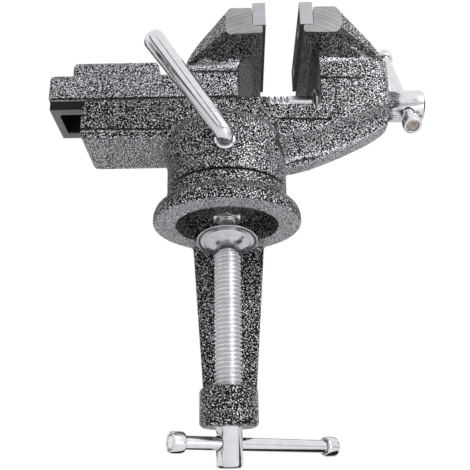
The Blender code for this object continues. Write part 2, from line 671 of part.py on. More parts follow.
def make_moving_jaw(material):
    """Box slide with an anvil and the moving jaw, hollow below for the spindle."""
    outline = [(SLIDE_LEFT, SLIDE_BOTTOM), (SLIDE_LEFT, SLIDE_TOP), (HEAD_BACK, SLIDE_TOP),
               (HEAD_BACK, MOVING_LEDGE), (SLIDE_POST_FACE, MOVING_LEDGE), (SLIDE_POST_FACE, SLIDE_BOTTOM)]
    jaw = prism("moving_jaw", outline, -SLIDE_HALF, SLIDE_HALF, XZ_PLACE)
    bevel(jaw, SLIDE_ROUND, 3)
    rails = block("rails", (RAIL_LEFT, -RAIL_HALF, RAIL_BOTTOM),
                  (SLIDE_POST_FACE - SLIDE_ROUND, RAIL_HALF, SLIDE_BOTTOM + SLIDE_ROUND + OVERRUN))
    anvil = block("anvil", (ANVIL_LEFT, -ANVIL_HALF, SLIDE_TOP - ANVIL_ROUND - OVERRUN),
                  (ANVIL_RIGHT, ANVIL_HALF, ANVIL_TOP), ANVIL_ROUND)
    head = jaw_head("moving_head", MOVING_SEAT, SLIDE_POST_FACE, HEAD_BACK, SLIDE_HALF - HEAD_SINK,
                    MOVING_LEDGE - HEAD_SINK)
    join(jaw, rails, anvil, head, jaw_shelf("moving_shelf", MOVING_SEAT, MOVING_FACE, 1))
    square_wings(jaw, HEAD_BACK, MOVING_FACE)

    hollow = block("hollow", (SLIDE_LEFT + HOLLOW_END_WALL, -HOLLOW_HALF, RAIL_BOTTOM - OVERRUN),
                   (SLIDE_POST_FACE - HOLLOW_FRONT_WALL, HOLLOW_HALF, HOLLOW_CEILING))
    nut_slot = block("nut_slot",
                     (SPINDLE_NUT_RIGHT - SPINDLE_NUT_LENGTH - GAP, -SPINDLE_LUG_HALF - GAP, RAIL_BOTTOM - OVERRUN),
                     (SPINDLE_NUT_RIGHT + GAP, SPINDLE_LUG_HALF + GAP, SPINDLE_LUG_TOP + GAP))
    bore = rod("slide_bore", SLIDE_POST_FACE - HOLLOW_FRONT_WALL - OVERRUN, SLIDE_POST_FACE + OVERRUN,
               SPINDLE_BORE, along_x(z=SPINDLE_HEIGHT))
    cut(jaw, hollow, nut_slot, bore)
    plate_screw_holes(jaw, MOVING_FACE, 1, PLATE_THICK + PLATE_SCREW_DEPTH)
    return finish(jaw, material)


def make_jaw_plate(name, face, toward, material):
    """Hardened plate with two countersunk holes."""
    back = face - toward * (PLATE_THICK - GAP)
    plate = block(name, (min(face, back), -WING_HALF, PLATE_BOTTOM), (max(face, back), WING_HALF, PLATE_TOP))
    for side in (-1, 1):
        place = screw_place(face, side, toward)
        profile = [(0.0, OVERRUN), (PLATE_SCREW_HEAD + GAP, OVERRUN), (PLATE_SCREW_HEAD + GAP, -GAP),
                   (PLATE_SCREW_RADIUS + GAP, -PLATE_SCREW_CONE - GAP),
                   (PLATE_SCREW_RADIUS + GAP, -PLATE_THICK - OVERRUN), (0.0, -PLATE_THICK - OVERRUN)]
        cut(plate, turned("countersink", profile, place, SMALL_FACETS))
    return finish(plate, material)


def make_plate_screw(name, face, side, toward, material):
    """Countersunk screw with a hexagon socket, its head just under the plate's face."""
    end = -PLATE_THICK - PLATE_SCREW_DEPTH + GAP + GAP
    profile = [(0.0, -GAP), (PLATE_SCREW_HEAD, -GAP), (PLATE_SCREW_HEAD, -GAP - GAP),
               (PLATE_SCREW_RADIUS, -PLATE_SCREW_CONE - GAP - GAP), (PLATE_SCREW_RADIUS, end), (0.0, end)]
    place = screw_place(face, side, toward)
    screw = turned(name, profile, place, SMALL_FACETS)
    cut(screw, prism("socket", hexagon(PLATE_SCREW_SOCKET), -PLATE_SCREW_CONE, OVERRUN, place))
    return finish(screw, material)


def make_spindle(material):
    """Screw of the vise: drilled head, plain neck with a ring groove, and threaded length."""
    shoulder = NOSE_END + GAP
    groove_right = POST_FACE - GAP - THRUST_WASHER_THICK - GAP
    groove_left = groove_right - RING_THICK - GAP
    groove_radius = SPINDLE_RADIUS - RING_GROOVE_DEPTH
    profile = [(0.0, SPINDLE_HEAD_END), (SPINDLE_HEAD_RADIUS - SPINDLE_CHAMFER, SPINDLE_HEAD_END),
               (SPINDLE_HEAD_RADIUS, SPINDLE_HEAD_END - SPINDLE_CHAMFER), (SPINDLE_HEAD_RADIUS, shoulder),
               (SPINDLE_RADIUS, shoulder), (SPINDLE_RADIUS, groove_right), (groove_radius, groove_right),
               (groove_radius, groove_left), (SPINDLE_RADIUS, groove_left),
               (SPINDLE_RADIUS, SPINDLE_END + SPINDLE_CHAMFER),
               (SPINDLE_RADIUS - SPINDLE_CHAMFER, SPINDLE_END), (0.0, SPINDLE_END)]
    spindle = turned("spindle", profile, along_x(z=SPINDLE_HEIGHT))
    hole = rod("spindle_bar_hole", -SPINDLE_HEAD_RADIUS - OVERRUN, SPINDLE_HEAD_RADIUS + OVERRUN,
               BAR_HOLE, spindle_bar_place(), SMALL_FACETS)
    cut(spindle, hole)
    return finish(spindle, material)


def make_thrust_washer(material):
    """Washer between the post and the retaining ring."""
    right = POST_FACE - GAP
    left = right - THRUST_WASHER_THICK
    profile = [(SPINDLE_BORE, right), (THRUST_WASHER_RADIUS, right), (THRUST_WASHER_RADIUS, left),
               (SPINDLE_BORE, left)]
    return finish(turned("spindle_thrust_washer", profile, along_x(z=SPINDLE_HEIGHT), closed=True), material)


def make_retaining_ring(material):
    """Open ring that snaps into the spindle's groove."""
    right = POST_FACE - GAP - THRUST_WASHER_THICK - GAP - GAP / 2
    left = right - RING_THICK + GAP / 2
    inner = SPINDLE_RADIUS - RING_GROOVE_DEPTH + GAP
    profile = [(inner, right), (RING_RADIUS, right), (RING_RADIUS, left), (inner, left)]
    ring = turned("spindle_retaining_ring", profile, along_x(z=SPINDLE_HEIGHT), closed=True)
    gap_low = SPINDLE_HEIGHT - RING_RADIUS - OVERRUN
    cut(ring, block("ring_opening", (left - OVERRUN, -RING_OPENING / 2, gap_low),
                    (right + OVERRUN, RING_OPENING / 2, SPINDLE_HEIGHT - inner / 2)))
    return finish(ring, material)


def make_spindle_nut(material):
    """Nut block with side lugs that sit in the slide's cross slot."""
    left = SPINDLE_NUT_RIGHT - SPINDLE_NUT_LENGTH
    half = HOLLOW_HALF - GAP
    nut = block("spindle_nut", (left, -half, SPINDLE_NUT_BOTTOM), (SPINDLE_NUT_RIGHT, half, SPINDLE_NUT_TOP))
    lugs = block("nut_lugs", (left, -SPINDLE_LUG_HALF, RAIL_BOTTOM + GAP),
                 (SPINDLE_NUT_RIGHT, SPINDLE_LUG_HALF, SPINDLE_LUG_TOP))
    join(nut, lugs)
    cut(nut, rod("nut_thread", left - OVERRUN, SPINDLE_NUT_RIGHT + OVERRUN, SPINDLE_BORE,
                 along_x(z=SPINDLE_HEIGHT)))
    return finish(nut, material)


def spindle_bar_place():
    """Centre of the spindle's cross hole, local +Z down the near half of the bar."""
    turn = Matrix.Rotation(math.pi / 2 + SPINDLE_BAR_DROP, 4, 'X')
    return Matrix.Translation((SPINDLE_HOLE_X, 0.0, SPINDLE_HEIGHT)) @ turn


def clamp_bar_place():
    """Centre of the clamp screw's cross hole, local +Z along the near, left half of the bar."""
    turn = Matrix.Rotation(math.pi + CLAMP_BAR_YAW, 4, 'Z') @ Matrix.Rotation(math.pi / 2, 4, 'Y')
    return Matrix.Translation((0.0, 0.0, CLAMP_BAR_HEIGHT)) @ turn


def make_bar(name, place, reach, material):
    """Sliding bar, flush with the outer faces of the knobs at its ends."""
    high = reach + KNOB_LENGTH / 2
    low = reach - KNOB_SPACING - KNOB_LENGTH / 2
    profile = [(0.0, high), (BAR_RADIUS - GAP, high), (BAR_RADIUS, high - GAP), (BAR_RADIUS, low + GAP),
               (BAR_RADIUS - GAP, low), (0.0, low)]
    return finish(turned(name, profile, place, SMALL_FACETS), material)


def make_knob(name, place, centre, material):
    """Barrel shaped end knob with the bar's end showing through it."""
    bore = BAR_RADIUS + GAP
    half = KNOB_LENGTH / 2
    profile = [(bore, centre + half)]
    for i in range(KNOB_STEPS + 1):
        angle = math.pi * i / KNOB_STEPS
        radius = KNOB_FACE + (KNOB_RADIUS - KNOB_FACE) * math.sqrt(math.sin(angle))
        profile.append((radius, centre + half * math.cos(angle)))
    profile.append((bore, centre - half))
    return finish(turned(name, profile, place, SMALL_FACETS, closed=True), material)


def make_lock_stud(material):
    """Threaded stud with a round collar, screwed into the neck."""
    inner = HUB_RADIUS + GAP + GAP
    collar = LEVER_SPOT + GAP
    outer = collar + LEVER_COLLAR_THICK
    profile = [(0.0, outer), (LEVER_COLLAR_RADIUS - LEVER_COLLAR_ROUND, outer),
               (LEVER_COLLAR_RADIUS, outer - LEVER_COLLAR_ROUND), (LEVER_COLLAR_RADIUS, collar),
               (LEVER_STUD_RADIUS, collar), (LEVER_STUD_RADIUS, inner), (0.0, inner)]
    return finish(turned("lock_stud", profile, along_y(z=LEVER_HEIGHT)), material)


def lever_points():
    """Centre line and radius of the lever: a short leg, a tight bend, and a tapered handle."""
    out = Vector((0.0, -1.0, 0.0))
    start = out * (LEVER_SPOT + GAP + LEVER_COLLAR_THICK + GAP) + Vector((0.0, 0.0, LEVER_HEIGHT))
    aim = Vector((LEVER_LENGTH * math.cos(LEVER_ANGLE), -LEVER_LEAN, LEVER_LENGTH * math.sin(LEVER_ANGLE)))
    aim.normalize()
    side = (aim - out * aim.dot(out)).normalized()
    bend = out.angle(aim)
    points = [(start, LEVER_ROOT_RADIUS)]
    start = start + out * LEVER_COLLAR_ROUND
    points.append((start, LEVER_ROOT_RADIUS))
    for i in range(1, LEVER_BEND_STEPS + 1):
        angle = bend * i / LEVER_BEND_STEPS
        points.append((start + out * (LEVER_BEND * math.sin(angle)) + side * (LEVER_BEND * (1 - math.cos(angle))),
                       LEVER_ROOT_RADIUS))
    elbow = points[-1][0]
    handle = LEVER_LENGTH - LEVER_DOME
    for i in range(1, LEVER_STEPS + 1):
        share = i / LEVER_STEPS
        radius = LEVER_ROOT_RADIUS + (LEVER_END_RADIUS - LEVER_ROOT_RADIUS) * share
        points.append((elbow + aim * (handle * share), radius))
    for i in range(1, LEVER_DOME_STEPS + 1):
        angle = LEVER_DOME_ANGLE * i / LEVER_DOME_STEPS
        points.append((elbow + aim * (handle + LEVER_DOME * math.sin(angle)),
                       LEVER_END_RADIUS * math.cos(angle)))
    return points


def make_lock_lever(material):
    """One round bar, bent at the collar and thicker towards its domed end."""
    curve = bpy.data.curves.new("lock_lever", 'CURVE')
    curve.dimensions = '3D'
    curve.bevel_depth = LEVER_END_RADIUS
    curve.bevel_resolution = 7
    curve.use_fill_caps = True
    points = lever_points()
    spline = curve.splines.new('POLY')
    spline.points.add(len(points) - 1)
    for point, (place, radius) in zip(spline.points, points):
        point.co = (*place, 1.0)
        point.radius = radius / LEVER_END_RADIUS
    lever = to_mesh_object(add_object("lock_lever", curve))
    return finish(lever, material)


def make_swivel_fasteners(bolt_material, washer_material):
    """Bolt through the hub, with its washer, spring washer and nut in the ring's recess."""
    seat = POCKET_FLOOR + GAP
    head_low = seat
    head_high = seat + BOLT_HEAD_HEIGHT
    bolt = prism("swivel_bolt", hexagon(BOLT_HEAD_ACROSS), head_low, head_high)
    join(bolt, rod("bolt_shank", BOLT_END, head_low + OVERRUN, BOLT_RADIUS, facets=SMALL_FACETS))
    finish(bolt, bolt_material)

    bore = BOLT_RADIUS + GAP
    washer_top = RECESS_DEPTH - GAP
    washer_low = washer_top - WASHER_THICK
    washer = turned("swivel_washer", [(bore, washer_top), (WASHER_RADIUS, washer_top),
                                      (WASHER_RADIUS, washer_low), (bore, washer_low)], closed=True)
    finish(washer, washer_material)

    spring_top = washer_low - GAP
    spring_low = spring_top - SPRING_WASHER_THICK
    spring = turned("swivel_spring_washer", [(bore, spring_top), (SPRING_WASHER_RADIUS, spring_top),
                                             (SPRING_WASHER_RADIUS, spring_low), (bore, spring_low)],
                    facets=SMALL_FACETS, closed=True)
    cut(spring, block("spring_split", (0.0, -SPRING_WASHER_SPLIT / 2, spring_low - OVERRUN),
                      (SPRING_WASHER_RADIUS + OVERRUN, SPRING_WASHER_SPLIT / 2, spring_top + OVERRUN)))
    finish(spring, washer_material)

    nut_top = spring_low - GAP
    nut_low = nut_top - NUT_HEIGHT
    nut = prism("swivel_nut", hexagon(BOLT_HEAD_ACROSS), nut_low, nut_top)
    chamfer = turned("nut_chamfer", [(0.0, nut_top + OVERRUN), (BOLT_HEAD_ACROSS, nut_top + OVERRUN),
                                     (BOLT_HEAD_ACROSS, nut_low + BOLT_HEAD_ACROSS / 4),
                                     (BOLT_HEAD_ACROSS / 4, nut_low - BOLT_HEAD_ACROSS / 8),
                                     (0.0, nut_low - BOLT_HEAD_ACROSS / 8)])
    keep_common(nut, chamfer)
    cut(nut, rod("nut_bore", nut_low - OVERRUN, nut_top + OVERRUN, bore, facets=SMALL_FACETS))
    finish(nut, bolt_material)
    return bolt, washer, spring, nut


def make_clamp_screw(material):
    """Clamp screw: reduced tip for the pad, threaded length and drilled head."""
    profile = [(0.0, SCREW_TIP_TOP), (SCREW_TIP_RADIUS, SCREW_TIP_TOP), (SCREW_TIP_RADIUS, SCREW_TOP),
               (SCREW_RADIUS - SCREW_SHOULDER, SCREW_TOP), (SCREW_RADIUS, SCREW_TOP - SCREW_SHOULDER),
               (SCREW_RADIUS, BOSS_BOTTOM + GAP), (SCREW_HEAD_RADIUS, BOSS_BOTTOM - GAP),
               (SCREW_HEAD_RADIUS, SCREW_HEAD_BOTTOM + SCREW_CHAMFER),
               (SCREW_HEAD_RADIUS - SCREW_CHAMFER, SCREW_HEAD_BOTTOM), (0.0, SCREW_HEAD_BOTTOM)]
    screw = turned("clamp_screw", profile)
    hole = rod("clamp_bar_hole", -SCREW_HEAD_RADIUS - OVERRUN, SCREW_HEAD_RADIUS + OVERRUN,
               BAR_HOLE, clamp_bar_place(), SMALL_FACETS)
    cut(screw, hole)
    return finish(screw, material)


def make_clamp_pad(material):
    """Dished pad, loose on the screw's tip and tipped towards the front."""
    top = [(PAD_HOLE, 0.0)] + [(PAD_RADIUS * out, PAD_DISH * up) for out, up in PAD_SHARES]
    below = [(radius - PAD_SKEW * (up > 0), PAD_DISH * up - PAD_THICK)
             for (radius, height), (out, up) in zip(top[1:-1], PAD_SHARES)]
    profile = top + [(PAD_RADIUS, PAD_DISH - PAD_THICK / 2)] + list(reversed(below)) + [(PAD_HOLE, -PAD_THICK)]
    pivot = PAD_HEIGHT - PAD_DISH
    place = Matrix.Translation((0.0, 0.0, pivot)) @ Matrix.Rotation(-PAD_TILT, 4, 'X')
    return finish(turned("clamp_pad", profile, place, closed=True), material)


def make_rivet_washer(material):
    """Washer under the peened tip, which keeps the pad on the screw."""
    low = PAD_HEIGHT - PAD_DISH + RIVET_WASHER_RADIUS * math.sin(PAD_TILT) + GAP
    high = low + RIVET_WASHER_THICK
    bore = SCREW_TIP_RADIUS + GAP
    profile = [(bore, high), (RIVET_WASHER_RADIUS, high), (RIVET_WASHER_RADIUS, low), (bore, low)]
    return finish(turned("clamp_pad_washer", profile, facets=SMALL_FACETS, closed=True), material)


def joint_axis(name, place, parent=None):
    """An empty on a joint's axis, which carries the pieces that move there."""
    axis = bpy.data.objects.new(name, None)
    axis.empty_display_size = KNOB_LENGTH
    axis.matrix_world = place
    parts.objects.link(axis)
    if parent:
        carry(parent, axis)
    return axis


def carry(axis, *items):
    bpy.context.view_layer.update()
    for item in items:
        item.parent = axis
        item.matrix_parent_inverse = axis.matrix_world.inverted()


def main():
    global parts, cutters
    clear_scene()
    parts = make_collection("swivel_bench_vise")
    cutters = make_collection("cutters")

    paint = make_material("hammered_silver_paint", (0.10, 0.10, 0.11), 0.42, 0.35)
    milled = make_material("ground_steel", (0.55, 0.54, 0.57), 0.35, 1.0)
    chrome = make_material("bright_chrome", (0.80, 0.82, 0.84), 0.12, 1.0)
    zinc = make_material("zinc_plated_steel", (0.66, 0.68, 0.70), 0.30, 1.0)
    black = make_material("black_oxide_steel", (0.03, 0.03, 0.03), 0.45, 0.8)
    nut_iron = make_material("nut_iron", (0.30, 0.28, 0.26), 0.60, 0.9)

    make_clamp_base(paint)
    body = make_vise_body(paint)
    jaw = make_moving_jaw(paint)
    fixed_plate = make_jaw_plate("fixed_jaw_plate", FIXED_FACE, -1, milled)
    moving_plate = make_jaw_plate("moving_jaw_plate", MOVING_FACE, 1, milled)
    fixed_screws = []
    moving_screws = []
    for side, word in ((-1, "near"), (1, "far")):
        fixed_screws.append(make_plate_screw(f"fixed_plate_screw_{word}", FIXED_FACE, side, -1, black))
        moving_screws.append(make_plate_screw(f"moving_plate_screw_{word}", MOVING_FACE, side, 1, black))

    spindle = make_spindle(zinc)
    washer = make_thrust_washer(zinc)
    ring = make_retaining_ring(black)
    nut = make_spindle_nut(nut_iron)
    spindle_bar = make_bar("spindle_bar", spindle_bar_place(), SPINDLE_BAR_REACH, chrome)
    spindle_knobs = [make_knob("spindle_bar_knob_near", spindle_bar_place(), SPINDLE_BAR_REACH, chrome),
                     make_knob("spindle_bar_knob_far", spindle_bar_place(),
                               SPINDLE_BAR_REACH - KNOB_SPACING, chrome)]

    stud = make_lock_stud(chrome)
    lever = make_lock_lever(chrome)
    make_swivel_fasteners(black, zinc)

    clamp_screw = make_clamp_screw(zinc)
    pad = make_clamp_pad(zinc)
    rivet_washer = make_rivet_washer(zinc)
    clamp_bar = make_bar("clamp_bar", clamp_bar_place(), CLAMP_BAR_REACH, chrome)
    clamp_knobs = [make_knob("clamp_bar_knob_near", clamp_bar_place(), CLAMP_BAR_REACH, chrome),
                   make_knob("clamp_bar_knob_far", clamp_bar_place(), CLAMP_BAR_REACH - KNOB_SPACING, chrome)]

    swivel_axis = joint_axis("swivel_axis", Matrix.Translation((0.0, 0.0, JOINT_HEIGHT)))
    slide_axis = joint_axis("jaw_slide_axis", Matrix.Translation((0.0, 0.0, SPINDLE_HEIGHT)), swivel_axis)
    spindle_axis = joint_axis("spindle_axis", Matrix.Translation((POST_FACE, 0.0, SPINDLE_HEIGHT)), swivel_axis)
    lever_axis = joint_axis("lock_lever_axis", Matrix.Translation((0.0, 0.0, LEVER_HEIGHT)), swivel_axis)
    bar_axis = joint_axis("spindle_bar_axis", spindle_bar_place(), spindle_axis)
    feed_axis = joint_axis("clamp_feed_axis", Matrix.Translation((0.0, 0.0, PAD_HEIGHT - PAD_DISH)))
    screw_axis = joint_axis("clamp_screw_axis", Matrix.Translation((0.0, 0.0, SCREW_TOP)), feed_axis)
    tilt_axis = joint_axis("clamp_pad_axis", Matrix.Translation((0.0, 0.0, PAD_HEIGHT - PAD_DISH)), feed_axis)
    clamp_bar_axis = joint_axis("clamp_bar_axis", clamp_bar_place(), screw_axis)
    carry(swivel_axis, body, fixed_plate, washer, *fixed_screws)
    carry(slide_axis, jaw, moving_plate, nut, *moving_screws)
    carry(spindle_axis, spindle, ring)
    carry(bar_axis, spindle_bar, *spindle_knobs)
    carry(lever_axis, stud, lever)
    carry(feed_axis, rivet_washer)
    carry(screw_axis, clamp_screw)
    carry(tilt_axis, pad)
    carry(clamp_bar_axis, clamp_bar, *clamp_knobs)


main()
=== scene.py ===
import math

import bmesh
import bpy
from mathutils import Matrix, Vector


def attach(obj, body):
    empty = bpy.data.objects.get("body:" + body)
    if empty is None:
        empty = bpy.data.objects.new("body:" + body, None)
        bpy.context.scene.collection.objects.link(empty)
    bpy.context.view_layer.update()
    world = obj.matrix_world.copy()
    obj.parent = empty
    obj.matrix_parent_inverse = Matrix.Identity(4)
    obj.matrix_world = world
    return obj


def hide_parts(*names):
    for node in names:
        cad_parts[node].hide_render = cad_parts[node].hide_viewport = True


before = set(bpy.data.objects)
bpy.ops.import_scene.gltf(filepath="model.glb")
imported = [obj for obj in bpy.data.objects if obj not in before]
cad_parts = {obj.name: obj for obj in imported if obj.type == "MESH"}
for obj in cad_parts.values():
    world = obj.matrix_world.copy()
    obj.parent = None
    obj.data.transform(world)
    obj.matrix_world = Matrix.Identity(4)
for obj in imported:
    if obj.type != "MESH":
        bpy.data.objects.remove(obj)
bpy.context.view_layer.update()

# Margins in metres: for points that are one, and for faces on a softened or a milled plane
WELD = 0.00001
SKIN = 0.0006
FLATNESS = 0.0002

# Sizes in metres: places on the solids that the finishes follow, and the pieces that are made here
JAW_HALF = 0.0375
WING_BOTTOM = 0.1107
WING_UNDER = 0.1042
SLIDE_BOTTOM = 0.0785
HOLLOW_HALF = 0.0119
HOLLOW_CEILING = 0.0908
HOLLOW_FOOT = 0.0732
FOOT_HALF = 0.0190
RECESS_RADIUS = 0.0312
RECESS_TOP = 0.0165
RECESS_LIP = 0.0003
SEAM_HEIGHT = 0.0217
TROUGH_LEFT = -0.0882
TROUGH_RIGHT = -0.0300
TROUGH_HALF = 0.0214
SLIDE_LEFT = -0.1095
SLIDE_HALF = 0.0203
POST_HALF = 0.0220
POST_CORNER = 0.0588
POST_LEFT = 0.0590
RIM_TOP = 0.0790
MOVING_POST_RIGHT = 0.0084
KEEL_LEFT = 0.0340
KEEL_HALF = 0.0062
KEEL_TOP = 0.0640
BOLT_RADIUS = 0.0050
NUT_ACROSS = 0.0162
NUT_BOTTOM = 0.0042
NUT_TOP = 0.0114
NUT_CHAMFER = 0.0014
NUT_FACE_RADIUS = 0.0076
NUT_CLEARANCE = 0.0003
SPINDLE_HEIGHT = 0.0815
SPINDLE_RADIUS = 0.0080
SPINDLE_END = -0.0580
SPINDLE_THREAD_END = 0.0415
SPINDLE_PITCH = 0.0040
SPINDLE_DEPTH = 0.0016
SPINDLE_CHAMFER = 0.0020
SPINDLE_TAPER = 0.0012
SPINDLE_RUNOUT = 0.0030
SPINDLE_HOLE_X = 0.1150
SPINDLE_BAR_REACH = 0.0222
SPINDLE_BAR_DROP = math.radians(58.8)
SCREW_RADIUS = 0.0078
SCREW_TOP = -0.0152
SCREW_THREAD_END = -0.1165
SCREW_PITCH = 0.0025
SCREW_DEPTH = 0.0013
SCREW_CHAMFER = 0.0034
SCREW_TAPER = 0.0031
SCREW_RUNOUT = 0.0010
ROWS_A_TURN = 14
CLAMP_BAR_HEIGHT = -0.1255
CLAMP_BAR_YAW = math.radians(30)
CLAMP_BAR_REACH = 0.0312
BAR_RADIUS = 0.0036
KNOB_SPACING = 0.0976
KNOB_LENGTH = 0.0076
KNOB_RADIUS = 0.0057
KNOB_FACE = 0.0046
KNOB_EASE = 0.0003
PAD_PIVOT = -0.0128
PAD_THICK = 0.0012
PAD_DRAW = 0.0003
PAD_HOLE = 0.0044
PAD_TILT = math.radians(11)
LEVER_HEIGHT = 0.0395
LEVER_START = 0.0388
LEVER_STUB = 0.0010
LEVER_BEND = 0.0050
LEVER_LENGTH = 0.0714
LEVER_LEAN = 0.0090
LEVER_ANGLE = math.radians(125)
LEVER_DOME = 0.0050
LEVER_ROOT_RADIUS = 0.0050
LEVER_END_RADIUS = 0.0065
CASTING_VOXEL = 0.0009
JAW_VOXEL = 0.0008
MACHINING_STOCK = 0.0015

# Hammered paint: how many cells to a metre, how sharp and how deep they are, and where more silver is
# painted in towards the right as painted light
MOTTLE_SCALE = 1500.0
MOTTLE_EDGE = 0.004
MOTTLE_DRIFT = 0.03
MOTTLE_RELIEF = 0.00008
SIDE_LIGHT_LEFT = 0.015
SIDE_LIGHT_RIGHT = 0.035
SEAM_REACH = 0.0012

# Camera, from the photograph's own perspective, and the studio round it
CAMERA_PLACE = (0.008102, -0.38653, -0.153783)
CAMERA_YAW = 0.009
CAMERA_PITCH = 0.367
CAMERA_ROLL = 0.014
CAMERA_LENS = 52.84
SENSOR = 36.0
FLOOR_HEIGHT = -0.2050
FLOOR_HALF = 3.0
CARD_REACH = 1.20
CARD_LOW = 0.10
CARD_TOP = 0.60
SKIRT_TOP = -0.125
BACK_LOW = 0.30
BACK_TOP = 0.80
NEAR_REACH = 0.60
NEAR_LOW = -0.05
NEAR_TOP = 0.30
MAT_LEFT = -0.12
MAT_RIGHT = 0.18
MAT_FRONT = 0.015
MAT_BACK = 0.11
MAT_LIFT = 0.002
STAND_PLACE = -1.05
STAND_LEFT = 0.02
STAND_RIGHT = 0.14


# Node trees

class Wiring:
    """Adds nodes to one tree and joins them."""

    def __init__(self, tree):
        self.tree = tree
        self.count = 0

    def add(self, kind, sockets=None, **settings):
        """A node: settings are its own choices, and sockets its inputs, each a value or an output."""
        node = self.tree.nodes.new(kind)
        node.location = (200 * (self.count % 12), -260 * (self.count // 12))
        self.count += 1
        for name, value in settings.items():
            setattr(node, name, value)
        for key, value in (sockets or {}).items():
            self.feed(node.inputs[key], value)
        return node

    def join(self, source, target):
        self.tree.links.new(source, target)

    def feed(self, target, value):
        """Gives an input its value, or joins the output that makes it."""
        if isinstance(value, bpy.types.NodeSocket):
            self.join(value, target)
        else:
            target.default_value = value

    def math(self, operation, first, second=0.0, third=0.0, clamp=False):
        sockets = {0: first, 1: second, 2: third}
        return self.add("ShaderNodeMath", sockets, operation=operation, use_clamp=clamp).outputs[0]

    def coordinates(self):
        return self.add("ShaderNodeTexCoord").outputs["Object"]

    def parts(self, vector):
        return self.add("ShaderNodeSeparateXYZ", {0: vector}).outputs

    def ramp(self, value, low, high, to_low=0.0, to_high=1.0, step="SMOOTHSTEP"):
        sockets = {"Value": value, "From Min": low, "From Max": high, "To Min": to_low, "To Max": to_high}
        return self.add("ShaderNodeMapRange", sockets, interpolation_type=step).outputs["Result"]

    def noise(self, vector, scale, detail=2.0, roughness=0.5, distortion=0.0):
        sockets = {"Vector": vector, "Scale": scale, "Detail": detail, "Roughness": roughness,
                   "Distortion": distortion}
        return self.add("ShaderNodeTexNoise", sockets).outputs[0]

    def vector(self, operation, first, second=(0.0, 0.0, 0.0)):
        node = self.add("ShaderNodeVectorMath", {0: first, 1: second}, operation=operation)
        return node.outputs["Value" if operation in ("DOT_PRODUCT", "LENGTH") else "Vector"]

    def blend(self, share, first, second):
        return self.add("ShaderNodeMix", {0: share, 6: first, 7: second}, data_type="RGBA").outputs[2]


def new_group(name, inputs, outputs, kind="ShaderNodeTree"):
    """A node group with named sockets, and its wiring, inputs and outputs."""
    tree = bpy.data.node_groups.new(name, kind)
    for label, (socket_type, value) in inputs.items():
        socket = tree.interface.new_socket(label, in_out="INPUT", socket_type=socket_type)
        if value is not None:
            socket.default_value = value
    for label, socket_type in outputs.items():
        tree.interface.new_socket(label, in_out="OUTPUT", socket_type=socket_type)
    wires = Wiring(tree)
    given = wires.add("NodeGroupInput").outputs
    put_out = wires.add("NodeGroupOutput").inputs
    return tree, wires, given, put_out


FLOAT = "NodeSocketFloat"
VECTOR = "NodeSocketVector"


def mottle_group():
    """Silver veins and flecks that a hammered finish leaves in its black base."""
    tree, wires, given, out = new_group(
        "hammered_mottle",
        {"Scale": (FLOAT, MOTTLE_SCALE), "Edge": (FLOAT, MOTTLE_EDGE), "Cover": (FLOAT, 0.0),
         "Drift": (FLOAT, MOTTLE_DRIFT)},
        {"Silver": FLOAT, "Height": FLOAT})
    place = wires.coordinates()
    turned = wires.add("ShaderNodeMapping", {"Vector": place, "Rotation": (0.5, 0.9, 0.4)}).outputs[0]
    fine = wires.noise(turned, given["Scale"], 0.0, 0.5, 0.35)
    broad = wires.noise(place, wires.math("MULTIPLY", given["Scale"], 0.11), 1.0, 0.5, 0.3)
    drift = wires.math("MULTIPLY_ADD", wires.math("SUBTRACT", broad, 0.5), given["Drift"], 0.5)
    level = wires.math("SUBTRACT", drift, given["Cover"])
    low, high = (wires.math(operation, level, given["Edge"]) for operation in ("SUBTRACT", "ADD"))
    silver = wires.ramp(fine, low, high)
    wires.join(silver, out["Silver"])
    wires.join(fine, out["Height"])
    return tree


def wear_group():
    """Where edges are, from how far a rounded normal turns away from the true one."""
    tree, wires, given, out = new_group(
        "edge_wear", {"Width": (FLOAT, 0.0008), "Breakup": (FLOAT, 0.5)},
        {"Mask": FLOAT, "Normal": VECTOR})
    rounded = wires.add("ShaderNodeBevel", {"Radius": given["Width"]}, samples=4).outputs[0]
    true = wires.add("ShaderNodeNewGeometry").outputs["Normal"]
    edge = wires.ramp(wires.vector("DOT_PRODUCT", rounded, true), 0.995, 0.90)
    place = wires.coordinates()
    patchy = wires.ramp(wires.noise(place, 400.0, 3.0, 0.6), 0.42, 0.58)
    kept = wires.math("SUBTRACT", 1.0, wires.math("MULTIPLY", given["Breakup"], patchy))
    wires.join(wires.math("MULTIPLY", edge, kept), out["Mask"])
    wires.join(rounded, out["Normal"])
    return tree


def marks_group():
    """Fine parallel marks left by a cutter, stretched along one direction."""
    tree, wires, given, out = new_group(
        "machining_marks",
        {"Scale": (FLOAT, 900.0), "Stretch": (VECTOR, (1.0, 0.04, 1.0))},
        {"Shade": FLOAT, "Height": FLOAT})
    place = wires.coordinates()
    drawn_out = wires.add("ShaderNodeMapping", {"Vector": place, "Scale": given["Stretch"]}).outputs[0]
    lines = wires.noise(drawn_out, given["Scale"], 3.0, 0.65)
    broad = wires.noise(place, wires.math("MULTIPLY", given["Scale"], 0.07), 2.0)
    shade = wires.math("MULTIPLY_ADD", wires.math("SUBTRACT", lines, 0.5), 1.6,
                       wires.math("MULTIPLY_ADD", wires.math("SUBTRACT", broad, 0.5), 0.8, 0.5), clamp=True)
    wires.join(shade, out["Shade"])
    wires.join(lines, out["Height"])
    return tree


def grime_group():
    """Patches of thin oil and dust on bare metal."""
    tree, wires, given, out = new_group(
        "grime", {"Scale": (FLOAT, 90.0), "Amount": (FLOAT, 0.4)}, {"Mask": FLOAT})
    place = wires.coordinates()
    cloud = wires.ramp(wires.noise(place, given["Scale"], 4.0, 0.6, 0.4), 0.42, 0.66)
    wires.join(wires.math("MULTIPLY", cloud, given["Amount"]), out["Mask"])
    return tree


